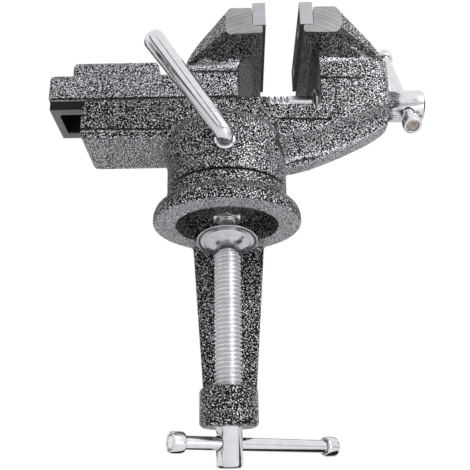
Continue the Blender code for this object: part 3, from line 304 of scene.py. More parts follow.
def crease_group():
    """A line on a casting, alike on its near and far side: a core, which the paint turns into painted shade
    on some lines and a painted highlight on others, and a height that rises to it.
    """
    tree, wires, given, out = new_group(
        "casting_crease", {"Start": (VECTOR, (0.0, 0.0, 0.0)), "End": (VECTOR, (0.0, 0.0, 0.1)),
                           "Core": (FLOAT, 0.0004), "Reach": (FLOAT, 0.002)},
        {"Line": FLOAT, "Rise": FLOAT})
    place = wires.parts(wires.coordinates())
    mirrored = {"X": place["X"], "Y": wires.math("ABSOLUTE", place["Y"]), "Z": place["Z"]}
    folded = wires.add("ShaderNodeCombineXYZ", mirrored).outputs[0]
    along = wires.vector("SUBTRACT", given["End"], given["Start"])
    away = wires.vector("SUBTRACT", folded, given["Start"])
    share = wires.math("DIVIDE", wires.vector("DOT_PRODUCT", away, along),
                       wires.vector("DOT_PRODUCT", along, along), clamp=True)
    nearest = wires.add("ShaderNodeVectorMath", {0: along, "Scale": share}, operation="SCALE").outputs[0]
    gap = wires.vector("LENGTH", wires.vector("SUBTRACT", away, nearest))
    inside = wires.math("MAXIMUM", wires.math("SUBTRACT", given["Reach"], gap), 0.0)
    rise = wires.math("DIVIDE", wires.math("MULTIPLY", inside, inside),
                      wires.math("MULTIPLY", given["Reach"], 2.0))
    line = wires.ramp(gap, given["Core"], wires.math("MULTIPLY", given["Core"], 0.3))
    wires.join(line, out["Line"])
    wires.join(rise, out["Rise"])
    return tree


def teeth_group():
    """Crossed cuts that give a jaw its grip."""
    tree, wires, given, out = new_group("grip_teeth", {"Scale": (FLOAT, 2600.0)}, {"Height": FLOAT})
    place = wires.parts(wires.coordinates())
    rising, falling = (
        wires.math("SINE", wires.math("MULTIPLY", wires.math(way, place["Y"], place["Z"]), given["Scale"]))
        for way in ("ADD", "SUBTRACT"))
    wires.join(wires.math("MINIMUM", rising, falling), out["Height"])
    return tree


def arcs_group():
    """Curved marks round one centre, as a fly cutter leaves them on both wings in one pass."""
    tree, wires, given, out = new_group(
        "cutter_arcs", {"Centre": (VECTOR, (0.036, 0.0, 0.060)), "Scale": (FLOAT, 700.0)},
        {"Shade": FLOAT, "Height": FLOAT})
    place = wires.coordinates()
    flat = wires.vector("MULTIPLY", wires.vector("SUBTRACT", place, given["Centre"]), (1.0, 0.0, 1.0))
    ring = wires.add("ShaderNodeCombineXYZ", {"X": wires.vector("LENGTH", flat)}).outputs[0]
    warped = wires.vector("ADD", wires.vector("MULTIPLY", place, (0.04, 0.04, 0.04)), ring)
    lines = wires.noise(warped, given["Scale"], 3.0, 0.65)
    broad = wires.noise(place, wires.math("MULTIPLY", given["Scale"], 0.1), 2.0)
    shade = wires.math("MULTIPLY_ADD", wires.math("SUBTRACT", lines, 0.5), 2.0,
                       wires.math("MULTIPLY_ADD", wires.math("SUBTRACT", broad, 0.5), 0.9, 0.5), clamp=True)
    wires.join(shade, out["Shade"])
    wires.join(lines, out["Height"])
    return tree


def root_group():
    """Where a screw's surface lies low, near the roots of its thread."""
    tree, wires, given, out = new_group(
        "thread_roots", {"Centre": (VECTOR, (0.0, 0.0, 0.0)), "Across": (VECTOR, (1.0, 1.0, 0.0)),
                         "Root": (FLOAT, 0.007), "Crest": (FLOAT, 0.008)}, {"Mask": FLOAT})
    place = wires.coordinates()
    flat = wires.vector("MULTIPLY", wires.vector("SUBTRACT", place, given["Centre"]), given["Across"])
    wires.join(wires.ramp(wires.vector("LENGTH", flat), given["Crest"], given["Root"]), out["Mask"])
    return tree


MOTTLE = mottle_group()
ROOTS = root_group()
TEETH = teeth_group()
CREASE = crease_group()
WEAR = wear_group()
MARKS = marks_group()
ARCS = arcs_group()
GRIME = grime_group()


def use_group(wires, tree, **sockets):
    node = wires.add("ShaderNodeGroup")
    node.node_tree = tree
    for name, value in sockets.items():
        wires.feed(node.inputs[name], value)
    return node.outputs


def start_material(name, **constants):
    """A material with its wiring and shader; constants go straight on the shader's own sockets."""
    material = bpy.data.materials.new(name)
    material.use_nodes = True
    wires = Wiring(material.node_tree)
    shader = material.node_tree.nodes["Principled BSDF"]
    for key, value in constants.items():
        shader.inputs[key.replace("_", " ")].default_value = value
    return material, wires, shader


def grey(value, tint=1.0):
    return (value, value, value * tint, 1.0)


def bump(wires, shader, height, distance, strength=1.0, normal=None):
    sockets = {"Height": height, "Distance": distance, "Strength": strength}
    if normal is not None:
        sockets["Normal"] = normal
    node = wires.add("ShaderNodeBump", sockets)
    wires.join(node.outputs[0], shader.inputs["Normal"])


def hammered_paint(name, creases=(), cover=-0.10, dark=0.002, silver=0.95, seam=None, lighter_right=0.0):
    """Glossy black enamel with silver mottling, chipped a little on its edges.

    creases are (start, end, core, reach, rise, shade) of the lines that the casting's pattern left in it,
    shade being how much painted shade darkens one, and a value below zero how much a painted highlight
    brightens it.
    seam is the height of a dark joint line, and the last argument how much more silver, painted in for the
    light that falls stronger there, lies towards the fixed jaw than on the left."""
    material, wires, shader = start_material(name, Specular_IOR_Level=0.2)
    relief, shadow, shine = 0.0, 0.0, 0.0
    for start, end, core, reach, rise, shade in creases:
        crease = use_group(wires, CREASE, Start=start, End=end, Core=core, Reach=reach)
        relief = wires.math("MULTIPLY_ADD", crease["Rise"], rise, relief)
        if shade > 0.0:
            shadow = wires.math("MAXIMUM", wires.math("MULTIPLY", crease["Line"], shade), shadow)
        if shade < 0.0:
            shine = wires.math("MAXIMUM", wires.math("MULTIPLY", crease["Line"], -shade), shine)
    place = wires.parts(wires.coordinates())
    if seam:
        away = wires.math("ABSOLUTE", wires.math("SUBTRACT", place["Z"], seam))
        shadow = wires.math("MAXIMUM", wires.ramp(away, SEAM_REACH, SEAM_REACH / 2), shadow)
    # Painted light: more silver towards the fixed jaw, where the lamp falls stronger
    side_light = wires.ramp(place["X"], SIDE_LIGHT_LEFT, SIDE_LIGHT_RIGHT, cover, cover + lighter_right)
    # Painted highlight: more silver along the bright crease lines
    mottle = use_group(wires, MOTTLE, Cover=wires.math("MULTIPLY_ADD", shine, 0.12, side_light))
    wear = use_group(wires, WEAR, Width=0.0008, Breakup=0.8)
    colour = wires.blend(mottle["Silver"], grey(dark, 1.1), grey(silver, 1.06))
    colour = wires.blend(wires.math("MULTIPLY", wear["Mask"], 0.25), colour, grey(0.40, 1.04))
    # Painted shade: near black along the dark crease lines, and along the seam's dark joint line
    colour = wires.blend(shadow, colour, grey(0.003))
    wires.join(colour, shader.inputs["Base Color"])
    wires.join(wires.math("MULTIPLY", mottle["Silver"], 0.20), shader.inputs["Metallic"])
    gloss = wires.ramp(mottle["Silver"], 0.0, 1.0, 0.30, 0.48, "LINEAR")
    wires.join(gloss, shader.inputs["Roughness"])
    bump(wires, shader, wires.math("MULTIPLY_ADD", mottle["Height"], MOTTLE_RELIEF, relief), 1.0)
    return material


def bare_iron(name, base, stretch, roughness, grime, contrast, tint, metallic=0.85,
              soil=(0.16, 0.14, 0.10, 1.0), shine=0.5):
    """Milled or ground iron and steel, with the cutter's marks and a little oil."""
    material, wires, shader = start_material(name, Specular_IOR_Level=shine)
    marks = use_group(wires, MARKS, Stretch=stretch)
    dirt = use_group(wires, GRIME, Scale=110.0, Amount=grime)
    wear = use_group(wires, WEAR, Width=0.0004, Breakup=0.4)
    colour = wires.blend(marks["Shade"], grey(base * (1 - contrast), tint),
                         grey(base * (1 + contrast * 0.6), tint))
    colour = wires.blend(dirt["Mask"], colour, soil)
    rubbed = wires.math("MULTIPLY", wear["Mask"], 0.4)
    colour = wires.blend(rubbed, colour, grey(min(base * 1.5, 0.9), tint))
    wires.join(colour, shader.inputs["Base Color"])
    shader.inputs["Metallic"].default_value = metallic
    gloss = wires.ramp(marks["Shade"], 0.0, 1.0, roughness + 0.08, roughness - 0.08, "LINEAR")
    wires.join(gloss, shader.inputs["Roughness"])
    bump(wires, shader, marks["Height"], 0.00008, 0.5, wear["Normal"])
    return material


def milled_ends(name, low, high):
    """Wing ends with a cutter's curved marks and a little oil."""
    material, wires, shader = start_material(name, Metallic=0.85)
    arcs = use_group(wires, ARCS)
    dirt = use_group(wires, GRIME, Scale=110.0, Amount=0.2)
    colour = wires.blend(arcs["Shade"], grey(low, 1.02), grey(high, 1.02))
    colour = wires.blend(dirt["Mask"], colour, (0.20, 0.19, 0.17, 1.0))
    wires.join(colour, shader.inputs["Base Color"])
    gloss = wires.ramp(arcs["Shade"], 0.0, 1.0, 0.46, 0.32, "LINEAR")
    wires.join(gloss, shader.inputs["Roughness"])
    bump(wires, shader, arcs["Height"], 0.00008, 0.6)
    return material


def toothed_steel(name, base):
    """Dull grip faces of a jaw plate, darker between the teeth."""
    material, wires, shader = start_material(name, Metallic=0.3, Specular_IOR_Level=0.15)
    teeth = use_group(wires, TEETH)
    colour = wires.blend(wires.ramp(teeth["Height"], -0.6, 0.6), grey(base * 0.3), grey(base))
    wires.join(colour, shader.inputs["Base Color"])
    gloss = wires.ramp(teeth["Height"], -1.0, 1.0, 0.85, 0.65, "LINEAR")
    wires.join(gloss, shader.inputs["Roughness"])
    bump(wires, shader, teeth["Height"], 0.0002, 0.6)
    return material


def plated_steel(name, base, roughness, tint, smudge, pits, soil=(0.25, 0.24, 0.23, 1.0), roots=None):
    """Chrome or zinc over steel: bright, faintly clouded and smudged, and darkened in a thread's roots as
    painted shade.

    roots are the inputs of the group that finds them."""
    material, wires, shader = start_material(name, Metallic=1.0)
    place = wires.coordinates()
    cloud = wires.noise(place, 260.0, 3.0, 0.55)
    speck = wires.noise(place, 2600.0, 2.0, 0.6)
    dirt = use_group(wires, GRIME, Scale=180.0, Amount=smudge)
    wear = use_group(wires, WEAR, Width=0.0005, Breakup=0.3)
    colour = wires.blend(wires.ramp(cloud, 0.35, 0.65), grey(base * 0.93, tint), grey(base, tint))
    colour = wires.blend(dirt["Mask"], colour, soil)
    if roots:
        # Painted shade: darker grey in the thread's roots
        colour = wires.blend(use_group(wires, ROOTS, **roots)["Mask"], colour, grey(0.66, 1.05))
    wires.join(colour, shader.inputs["Base Color"])
    rough = wires.math("MULTIPLY_ADD", wires.math("SUBTRACT", cloud, 0.5), 0.2, roughness)
    rough = wires.math("MULTIPLY_ADD", dirt["Mask"], 0.35, rough, clamp=True)
    wires.join(rough, shader.inputs["Roughness"])
    bump(wires, shader, speck, 0.00002, pits, wear["Normal"])
    return material


def dark_steel(name, base, roughness):
    """Blackened steel, lightened on its edges: partly rubbed wear, partly a painted highlight."""
    material, wires, shader = start_material(name, Metallic=0.9)
    place = wires.coordinates()
    cloud = wires.noise(place, 500.0, 4.0, 0.6)
    wear = use_group(wires, WEAR, Width=0.0006, Breakup=0.5)
    colour = wires.blend(wires.ramp(cloud, 0.35, 0.7), grey(base), grey(base * 2.2))
    # Edges lightened to near white: rubbed wear and a painted highlight
    colour = wires.blend(wires.math("MULTIPLY", wear["Mask"], 0.8), colour, grey(0.90))
    wires.join(colour, shader.inputs["Base Color"])
    gloss = wires.ramp(cloud, 0.3, 0.7, roughness - 0.1, roughness + 0.15)
    wires.join(gloss, shader.inputs["Roughness"])
    bump(wires, shader, cloud, 0.00005, 0.4, wear["Normal"])
    return material


# Lines in the castings, folded on to the far side: start, end, core, reach, rise and shade; shade above zero
# is painted shade, below zero a painted highlight
BODY_CREASES = [
    # Painted highlight at the root of the wing, then painted shade in the step and the upright line in the
    # post below it
    ((POST_CORNER, POST_HALF, 0.1030), (0.0880, 0.0210, 0.1040), 0.0026, 0.0034, 0.7, -0.9),
    ((0.0880, 0.0210, 0.1040), (0.0960, 0.0180, 0.1060), 0.0020, 0.0030, 0.7, -0.6),
    ((0.0590, POST_HALF, 0.0902), (0.0845, POST_HALF, 0.0890), 0.0011, 0.0020, -0.8, 0.95),
    ((0.0684, POST_HALF, 0.0880), (0.0672, TROUGH_HALF, 0.0665), 0.0007, 0.0014, -0.8, 0.75),
    # Painted shade along the foot of the wall over the nose and in the post's inner corner
    ((0.0324, POST_HALF, 0.0614), (0.0640, POST_HALF, 0.0602), 0.0011, 0.0018, -0.9, 1.0),
    ((POST_CORNER, POST_HALF, 0.1010), (POST_CORNER, POST_HALF, 0.0759), 0.0011, 0.0020, 0.5, 1.0),
    # Painted shade in the fold between the neck and the nose, and a painted highlight on the shoulder of the
    # nose's cove
    ((0.0298, POST_HALF, 0.0569), (0.0306, 0.0240, 0.0456), 0.0022, 0.0030, -0.7, 0.8),
    ((0.0306, 0.0240, 0.0456), (0.0351, 0.0134, 0.0400), 0.0022, 0.0030, -0.7, 0.8),
    ((0.0389, 0.0167, 0.0508), (0.0510, 0.0188, 0.0521), 0.0028, 0.0030, 0.6, -0.9),
    ((0.0510, 0.0188, 0.0521), (0.0726, 0.0199, 0.0614), 0.0028, 0.0030, 0.6, -0.8),
    ((0.0726, 0.0199, 0.0614), (0.0981, 0.0182, 0.0717), 0.0022, 0.0030, 0.6, -0.7),
    # Painted highlight on the edge of the keel, and painted shade in the line along it
    ((0.0373, 0.0070, 0.0409), (0.0641, 0.0065, 0.0468), 0.0016, 0.0016, 0.8, -1.0),
    ((0.0641, 0.0065, 0.0468), (0.0898, 0.0058, 0.0572), 0.0016, 0.0016, 0.8, -1.0),
    ((0.0898, 0.0058, 0.0572), (0.0977, 0.0058, 0.0627), 0.0014, 0.0016, 0.8, -0.8),
    ((0.0378, 0.0064, 0.0388), (0.0641, 0.0060, 0.0445), 0.0007, 0.0010, -0.6, 0.95),
    ((0.0641, 0.0060, 0.0445), (0.0905, 0.0050, 0.0552), 0.0007, 0.0010, -0.6, 0.95),
    # Painted shade at the foot of the trough's left end, a painted highlight on its rim, and the dark joint
    # line along the trough's top
    ((TROUGH_LEFT, TROUGH_HALF, 0.0570), (-0.0335, TROUGH_HALF, 0.0558), 0.0009, 0.0012, -0.8, 1.0),
    ((-0.0860, TROUGH_HALF, 0.0552), (-0.0350, TROUGH_HALF, 0.0540), 0.0012, 0.0014, 0.5, -0.8),
    ((TROUGH_LEFT, TROUGH_HALF, 0.0780), (0.0260, TROUGH_HALF, 0.0780), 0.0013, 0.0013, -0.5, 1.0),
    # Painted highlight along the sloping ridge from the wing's end down to the post
    ((0.0701, JAW_HALF, 0.1120), (0.0881, TROUGH_HALF, 0.1106), 0.0005, 0.0012, 0.9, -0.5),
    ((0.0881, TROUGH_HALF, 0.1106), (0.0974, 0.0150, 0.1075), 0.0005, 0.0012, 0.9, -0.5)]
JAW_CREASES = [
    # Painted highlight at the root of the wing, painted shade in the step below it and in the post's inner
    # corner, and the dark joint line at the slide's foot
    ((-0.0220, SLIDE_HALF, 0.1015), (MOVING_POST_RIGHT, 0.0200, 0.1015), 0.0028, 0.0034, 0.7, -0.9),
    ((-0.0240, SLIDE_HALF, 0.0972), (MOVING_POST_RIGHT, SLIDE_HALF, 0.0968), 0.0011, 0.0018, -0.8, 0.9),
    ((MOVING_POST_RIGHT, SLIDE_HALF, 0.1010), (MOVING_POST_RIGHT, SLIDE_HALF, 0.0790),
     0.0012, 0.0022, 0.5, 0.9),
    ((SLIDE_LEFT, SLIDE_HALF, 0.0788), (MOVING_POST_RIGHT, SLIDE_HALF, 0.0788), 0.0011, 0.0011, 0.5, 1.0),
    # Painted highlight along the sloping ridge from the wing's end down to the post
    ((0.0024, JAW_HALF, 0.1111), (-0.0136, 0.0214, 0.1096), 0.0005, 0.0012, 0.9, -0.5),
    ((-0.0136, 0.0214, 0.1096), (-0.0219, 0.0150, 0.1063), 0.0005, 0.0012, 0.9, -0.5)]

PAINT = hammered_paint("hammered_silver_paint", cover=-0.135, seam=SEAM_HEIGHT)
BODY_PAINT = hammered_paint("hammered_body_paint", BODY_CREASES, cover=-0.125, seam=SEAM_HEIGHT,
                            lighter_right=0.018)
JAW_PAINT = hammered_paint("hammered_jaw_paint", JAW_CREASES, cover=-0.062)
# Painted shade: dimmer silver flecks for the base's recess
SHADED_PAINT = hammered_paint("shaded_recess_paint", cover=-0.13, silver=0.75)
# Painted shade: dim silver flecks under the wings and on the jaw posts' inner faces
UNDER_SHADE_PAINT = hammered_paint("shaded_under_paint", cover=-0.095, silver=0.29)
# Painted light: paler, more silvered paint on the keel and the ring's underside, as if lit from below
LIT_UNDERSIDE_PAINT = hammered_paint("lit_underside_paint", cover=-0.015, dark=0.02, silver=0.66)
# Painted light: more silvered paint on ledges and trough bottoms that face down
LIT_LEDGE_PAINT = hammered_paint("lit_ledge_paint", cover=-0.09)
MILLED = milled_ends("milled_wing_ends", 0.22, 0.46)
TOOTHED = toothed_steel("toothed_plate_steel", 0.16)
GROUND = bare_iron("ground_plate_steel", 0.49, (0.05, 1.0, 1.0), 0.32, grime=0.08, contrast=0.10, tint=1.07)
# Near-black oiled iron for the rails, also used as painted shade inside the slide's hollow
RAIL_AND_HOLLOW_SHADE = bare_iron("oiled_rails_and_hollow_shade", 0.020, (0.03, 1.0, 1.0), 0.55, grime=0.5, contrast=0.5, tint=0.90,
                 soil=(0.03, 0.025, 0.02, 1.0), metallic=0.1, shine=0.1)
SLIDE_FOOT = bare_iron("milled_slide_foot", 0.20, (0.03, 1.0, 1.0), 0.40, grime=0.3, contrast=0.3, tint=1.0)
CHROME = plated_steel("bright_chrome", 0.76, 0.11, 1.04, 0.04, 0.03, soil=(0.55, 0.56, 0.60, 1.0))
ZINC = plated_steel("zinc_plate", 0.76, 0.20, 1.04, 0.08, 0.15, soil=(0.40, 0.40, 0.42, 1.0))
# Painted light: paler, rougher zinc on the screw's neck, to lift the shade under the pad
LIT_NECK_ZINC = plated_steel("lit_neck_zinc", 0.90, 0.50, 1.03, 0.05, 0.2)
PAD_ZINC = plated_steel("pressed_zinc", 0.62, 0.17, 1.05, 0.20, 0.2, soil=(0.20, 0.20, 0.21, 1.0))
SPINDLE_ZINC = plated_steel("zinc_spindle_thread", 0.76, 0.20, 1.05, 0.10, 0.3, roots={
    "Centre": (0.0, 0.0, SPINDLE_HEIGHT), "Across": (0.0, 1.0, 1.0), "Root": SPINDLE_RADIUS - SPINDLE_DEPTH,
    "Crest": SPINDLE_RADIUS - SPINDLE_DEPTH / 4})
SCREW_ZINC = plated_steel("zinc_thread", 0.78, 0.30, 1.03, 0.20, 0.4, roots={
    "Root": SCREW_RADIUS - SCREW_DEPTH, "Crest": SCREW_RADIUS - SCREW_DEPTH / 4})
BLACK = dark_steel("black_oxide_steel", 0.03, 0.38)
NUT_STEEL = dark_steel("rubbed_and_glinting_nut_steel", 0.50, 0.24)
NUT_IRON = dark_steel("oiled_nut_iron", 0.16, 0.5)
BAR_END = plated_steel("bare_bar_end", 0.42, 0.45, 0.90, 1.0, 0.5, soil=(0.44, 0.30, 0.26, 1.0))


# Piece building

def placed(name, data):
    """An object that shows this data in the scene."""
    thing = bpy.data.objects.new(name, data)
    bpy.context.scene.collection.objects.link(thing)
    return thing


def add_piece(name, mesh, body, *materials):
    """A finished mesh as a piece that rides on a body."""
    piece = placed(name, mesh)
    for material in materials:
        mesh.materials.append(material)
    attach(piece, body)
    return piece


def shade_smooth(mesh, angle=math.radians(32)):
    for face in mesh.polygons:
        face.use_smooth = True
    mesh.set_sharp_from_angle(angle=angle)


def evaluated_mesh(data, name, add_modifiers=None):
    """The mesh that a curve, or a stack of modifiers on a mesh, comes to as plain data."""
    helper = placed(name, data)
    if add_modifiers:
        add_modifiers(helper)
    graph = bpy.context.evaluated_depsgraph_get()
    made = bpy.data.meshes.new_from_object(helper.evaluated_get(graph))
    bpy.data.objects.remove(helper)
    return made


def finished_mesh(shape, name):
    """A new mesh of a bmesh shape with its normals outwards."""
    bmesh.ops.recalc_face_normals(shape, faces=shape.faces)
    mesh = bpy.data.meshes.new(name)
    shape.to_mesh(mesh)
    shape.free()
    return mesh


def ring_of(shape, radii, height):
    """Vertices at even angles round the local Z axis, one at each radius."""
    angles = [math.tau * i / len(radii) for i in range(len(radii))]
    return [shape.verts.new((radius * math.cos(angle), radius * math.sin(angle), height))
            for radius, angle in zip(radii, angles)]


def turned(name, profile, place, facets=96, closed=False):
    """A profile of (radius, height) points, turned about the local Z axis and set in its place."""
    shape = bmesh.new()
    rings = []
    for radius, height in profile:
        on_axis = radius < WELD
        rings.append(ring_of(shape, [0.0] if on_axis else [radius] * facets, height))
    pairs = list(zip(rings, rings[1:]))
    if closed:
        pairs.append((rings[-1], rings[0]))
    for first, second in pairs:
        for i in range(facets):
            j = (i + 1) % facets
            if len(first) == 1:
                shape.faces.new((first[0], second[i], second[j]))
            elif len(second) == 1:
                shape.faces.new((first[i], second[0], first[j]))
            else:
                shape.faces.new((first[i], second[i], second[j], first[j]))
    shape.transform(place)
    mesh = finished_mesh(shape, name)
    shade_smooth(mesh)
    return mesh


def node_copy(node, name):
    """A solid's mesh, copied and welded."""
    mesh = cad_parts[node].data.copy()
    mesh.name = name
    mesh.materials.clear()
    shape = bmesh.new()
    shape.from_mesh(mesh)
    bmesh.ops.remove_doubles(shape, verts=shape.verts, dist=WELD)
    shape.to_mesh(mesh)
    shape.free()
    return mesh


def thread_tree():
    """Nodes that turn a plain bar into a threaded one along Z."""
    tree, wires, given, out = new_group(
        "screw_thread",
        {"Radius": (FLOAT, 0.008), "Depth": (FLOAT, 0.001), "Pitch": (FLOAT, 0.003), "Length": (FLOAT, 0.1),
         "Chamfer": (FLOAT, 0.002), "Taper": (FLOAT, 0.001), "Runout": (FLOAT, 0.004), "Crest": (FLOAT, 0.3),
         "Rows": ("NodeSocketInt", 400), "Facets": ("NodeSocketInt", 64),
         "Finish": ("NodeSocketMaterial", None)},
        {"Geometry": "NodeSocketGeometry"}, "GeometryNodeTree")
    sizes = {"Vertices": given["Facets"], "Side Segments": given["Rows"], "Radius": given["Radius"],
             "Depth": given["Length"]}
    bar = wires.add("GeometryNodeMeshCylinder", sizes, fill_type="NGON")
    place = wires.parts(wires.add("GeometryNodeInputPosition").outputs[0])
    angle = wires.math("DIVIDE", wires.math("ARCTAN2", place["Y"], place["X"]), math.tau)
    pitches = wires.math("DIVIDE", place["Z"], given["Pitch"])
    turn = wires.math("FRACT", wires.math("SUBTRACT", pitches, angle))
    slope = wires.math("SUBTRACT", 1.0, wires.math("ABSOLUTE", wires.math("MULTIPLY_ADD", turn, 2.0, -1.0)))
    ridge = wires.ramp(slope, wires.math("MULTIPLY", given["Crest"], 0.5),
                       wires.math("SUBTRACT", 1.0, given["Crest"]))
    half = wires.math("MULTIPLY", given["Length"], 0.5)
    low_end = wires.math("ADD", place["Z"], half)
    high_end = wires.math("SUBTRACT", half, place["Z"])
    fade = wires.ramp(high_end, 0.0, given["Runout"])
    sunk = wires.math("MULTIPLY", wires.math("SUBTRACT", 1.0, ridge), fade)
    depth = wires.math("MULTIPLY", sunk, given["Depth"])
    taper = wires.math("MULTIPLY", wires.ramp(low_end, given["Chamfer"], 0.0, step="LINEAR"), given["Taper"])
    cut = wires.math("DIVIDE", wires.math("ADD", depth, taper), given["Radius"])
    share = wires.math("SUBTRACT", 1.0, cut)
    shrunk = {"X": wires.math("MULTIPLY", place["X"], share), "Y": wires.math("MULTIPLY", place["Y"], share),
              "Z": place["Z"]}
    moved = wires.add("ShaderNodeCombineXYZ", shrunk).outputs[0]
    made = bar.outputs["Mesh"]
    for step, sockets in (("SetPosition", {"Position": moved}),
                          ("SetShadeSmooth", {"Selection": bar.outputs["Side"]}),
                          ("RealizeInstances", {}),
                          ("SetMaterial", {"Material": given["Finish"]})):
        made = wires.add("GeometryNode" + step, {"Geometry": made, **sockets}).outputs[0]
    wires.join(made, out["Geometry"])
    return tree


THREAD = thread_tree()


def socket_name(tree, label):
    return next(item.identifier for item in tree.interface.items_tree
                if item.item_type == "SOCKET" and item.in_out == "INPUT" and item.name == label)


def nodes_mesh(name, tree, **values):
    """The plain mesh that a geometry node tree makes with these inputs."""
    def add_modifiers(helper):
        step = helper.modifiers.new(name, "NODES")
        step.node_group = tree
        for label, value in values.items():
            step[socket_name(tree, label)] = value
    return evaluated_mesh(bpy.data.meshes.new(name), name, add_modifiers)


def along_x(x, z):
    return Matrix.Translation((x, 0.0, z)) @ Matrix.Rotation(math.pi / 2, 4, "Y")


def half_kept(mesh, point, direction):
    """What lies beyond a plane, on the side that direction points to, with its cut closed."""
    shape = bmesh.new()
    shape.from_mesh(mesh)
    everything = shape.verts[:] + shape.edges[:] + shape.faces[:]
    found = bmesh.ops.bisect_plane(shape, geom=everything, dist=WELD / 10, plane_co=point,
                                   plane_no=direction, clear_inner=True)
    rim = [g for g in found["geom_cut"] if isinstance(g, bmesh.types.BMEdge)]
    bmesh.ops.holes_fill(shape, edges=rim, sides=0)
    shape.to_mesh(mesh)
    shape.free()
    return mesh


def joined(name, *meshes):
    """Several meshes as one, each keeping its faces' materials."""
    whole = bpy.data.meshes.new(name)
    shape = bmesh.new()
    finishes = []
    for mesh in meshes:
        before = len(shape.faces)
        shape.from_mesh(mesh)
        shape.faces.ensure_lookup_table()
        for face in shape.faces[before:]:
            finish = mesh.materials[face.material_index] if mesh.materials else None
            if finish not in finishes:
                finishes.append(finish)
            face.material_index = finishes.index(finish)
    shape.to_mesh(whole)
    shape.free()
    for finish in finishes:
        whole.materials.append(finish)
    return whole


def make_spindle():
    """Threaded spindle, plain towards its drilled head."""
    length = SPINDLE_THREAD_END - SPINDLE_END
    thread = nodes_mesh("spindle_thread", THREAD, Radius=SPINDLE_RADIUS, Depth=SPINDLE_DEPTH,
                        Pitch=SPINDLE_PITCH, Length=length, Chamfer=SPINDLE_CHAMFER, Taper=SPINDLE_TAPER,
                        Runout=SPINDLE_RUNOUT, Crest=0.34, Rows=int(length / SPINDLE_PITCH * ROWS_A_TURN),
                        Finish=SPINDLE_ZINC)
    thread.transform(along_x((SPINDLE_END + SPINDLE_THREAD_END) / 2, SPINDLE_HEIGHT))
    shank = half_kept(node_copy("spindle", "spindle_shank"), (SPINDLE_THREAD_END, 0.0, 0.0), (1.0, 0.0, 0.0))
    shade_smooth(shank)
    shank.materials.append(ZINC)
    piece = add_piece("threaded_spindle", joined("threaded_spindle", thread, shank), "spindle")
    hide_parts("spindle")


def make_clamp_screw():
    """Clamp screw with its thread up to the pad's neck."""
    length = SCREW_TOP - SCREW_THREAD_END
    thread = nodes_mesh("clamp_thread", THREAD, Radius=SCREW_RADIUS, Depth=SCREW_DEPTH, Pitch=SCREW_PITCH,
                        Length=length, Chamfer=SCREW_CHAMFER, Taper=SCREW_TAPER, Runout=SCREW_RUNOUT,
                        Crest=0.26, Rows=int(length / SCREW_PITCH * ROWS_A_TURN), Finish=SCREW_ZINC)
    middle = Matrix.Translation((0.0, 0.0, (SCREW_TOP + SCREW_THREAD_END) / 2))
    thread.transform(middle @ Matrix.Rotation(math.pi, 4, "X"))
    head = half_kept(node_copy("clamp_screw", "clamp_head"), (0.0, 0.0, SCREW_THREAD_END), (0.0, 0.0, -1.0))
    tip = half_kept(node_copy("clamp_screw", "clamp_tip"), (0.0, 0.0, SCREW_TOP), (0.0, 0.0, 1.0))
    for part, finish in ((head, CHROME), (tip, LIT_NECK_ZINC)):
        shade_smooth(part)
        part.materials.append(finish)
    screw = joined("threaded_clamp_screw", thread, head, tip)
    piece = add_piece("threaded_clamp_screw", screw, "clamp_screw")
    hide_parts("clamp_screw")


def make_pad():
    """Pressed swivel pad: thin rolled rim, flat ring and a bright cone down to the screw."""
    top = [(PAD_HOLE, 0.0), (0.0064, 0.0), (0.0084, 0.0005), (0.0112, 0.0022), (0.0128, 0.0034),
           (0.0138, 0.0040), (0.0142, 0.0046), (0.0160, 0.0049), (0.0166, 0.0050), (0.0172, 0.0048),
           (0.0179, 0.0047)]
    rim = [(0.0183, 0.0043), (0.01826, 0.0038), (0.0179, 0.0035), (0.0174, 0.00345)]
    below = [(radius - PAD_DRAW, height - PAD_THICK) for radius, height in reversed(top[1:-2])]
    profile = top + rim + below + [(PAD_HOLE, -PAD_THICK)]
    place = Matrix.Translation((0.0, 0.0, PAD_PIVOT)) @ Matrix.Rotation(-PAD_TILT, 4, "X")
    piece = add_piece("swivel_pad", turned("swivel_pad", profile, place, closed=True), "pad", PAD_ZINC)
    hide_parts("clamp_pad")


def make_nut():
    """Swivel nut, a corner towards the front and its corners chamfered off round the lower face."""
    facets = 96
    corner = NUT_ACROSS / math.sqrt(3)
    flats = [(math.tau * i / facets + math.pi / 6) % (math.pi / 3) - math.pi / 6 for i in range(facets)]
    chamfer_shares = [1 - i / 8 for i in range(9)]
    layers = [(NUT_TOP, 1.0)] + [(NUT_BOTTOM + NUT_CHAMFER * share, share) for share in chamfer_shares]
    shape = bmesh.new()
    rings = []
    for height, share in layers:
        limit = NUT_FACE_RADIUS + (corner - NUT_FACE_RADIUS) * share
        rings.append(ring_of(shape, [min(NUT_ACROSS / 2 / math.cos(flat), limit) for flat in flats], height))
    for height in (NUT_BOTTOM, NUT_TOP):
        rings.append(ring_of(shape, [BOLT_RADIUS + NUT_CLEARANCE] * facets, height))
    for first, second in zip(rings, rings[1:] + rings[:1]):
        for i in range(facets):
            j = (i + 1) % facets
            shape.faces.new((first[i], second[i], second[j], first[j]))
    mesh = finished_mesh(shape, "chamfered_nut")
    shade_smooth(mesh, math.radians(20))
    piece = add_piece("chamfered_nut", mesh, "base", NUT_STEEL)
    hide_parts("swivel_nut")


def make_plates():
    """Jaw plates, ground outside, with dull grip faces and undersides."""
    for side, body in (("fixed", "vise"), ("moving", "jaw")):
        mesh = node_copy(f"{side}_jaw_plate", f"{side}_plate")
        for face in mesh.polygons:
            face.material_index = 1 if abs(face.normal.x) > 0.9 or face.normal.z < -0.5 else 0
        piece = add_piece(f"{side}_plate", mesh, body, GROUND, TOOTHED)
        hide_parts(f"{side}_jaw_plate")


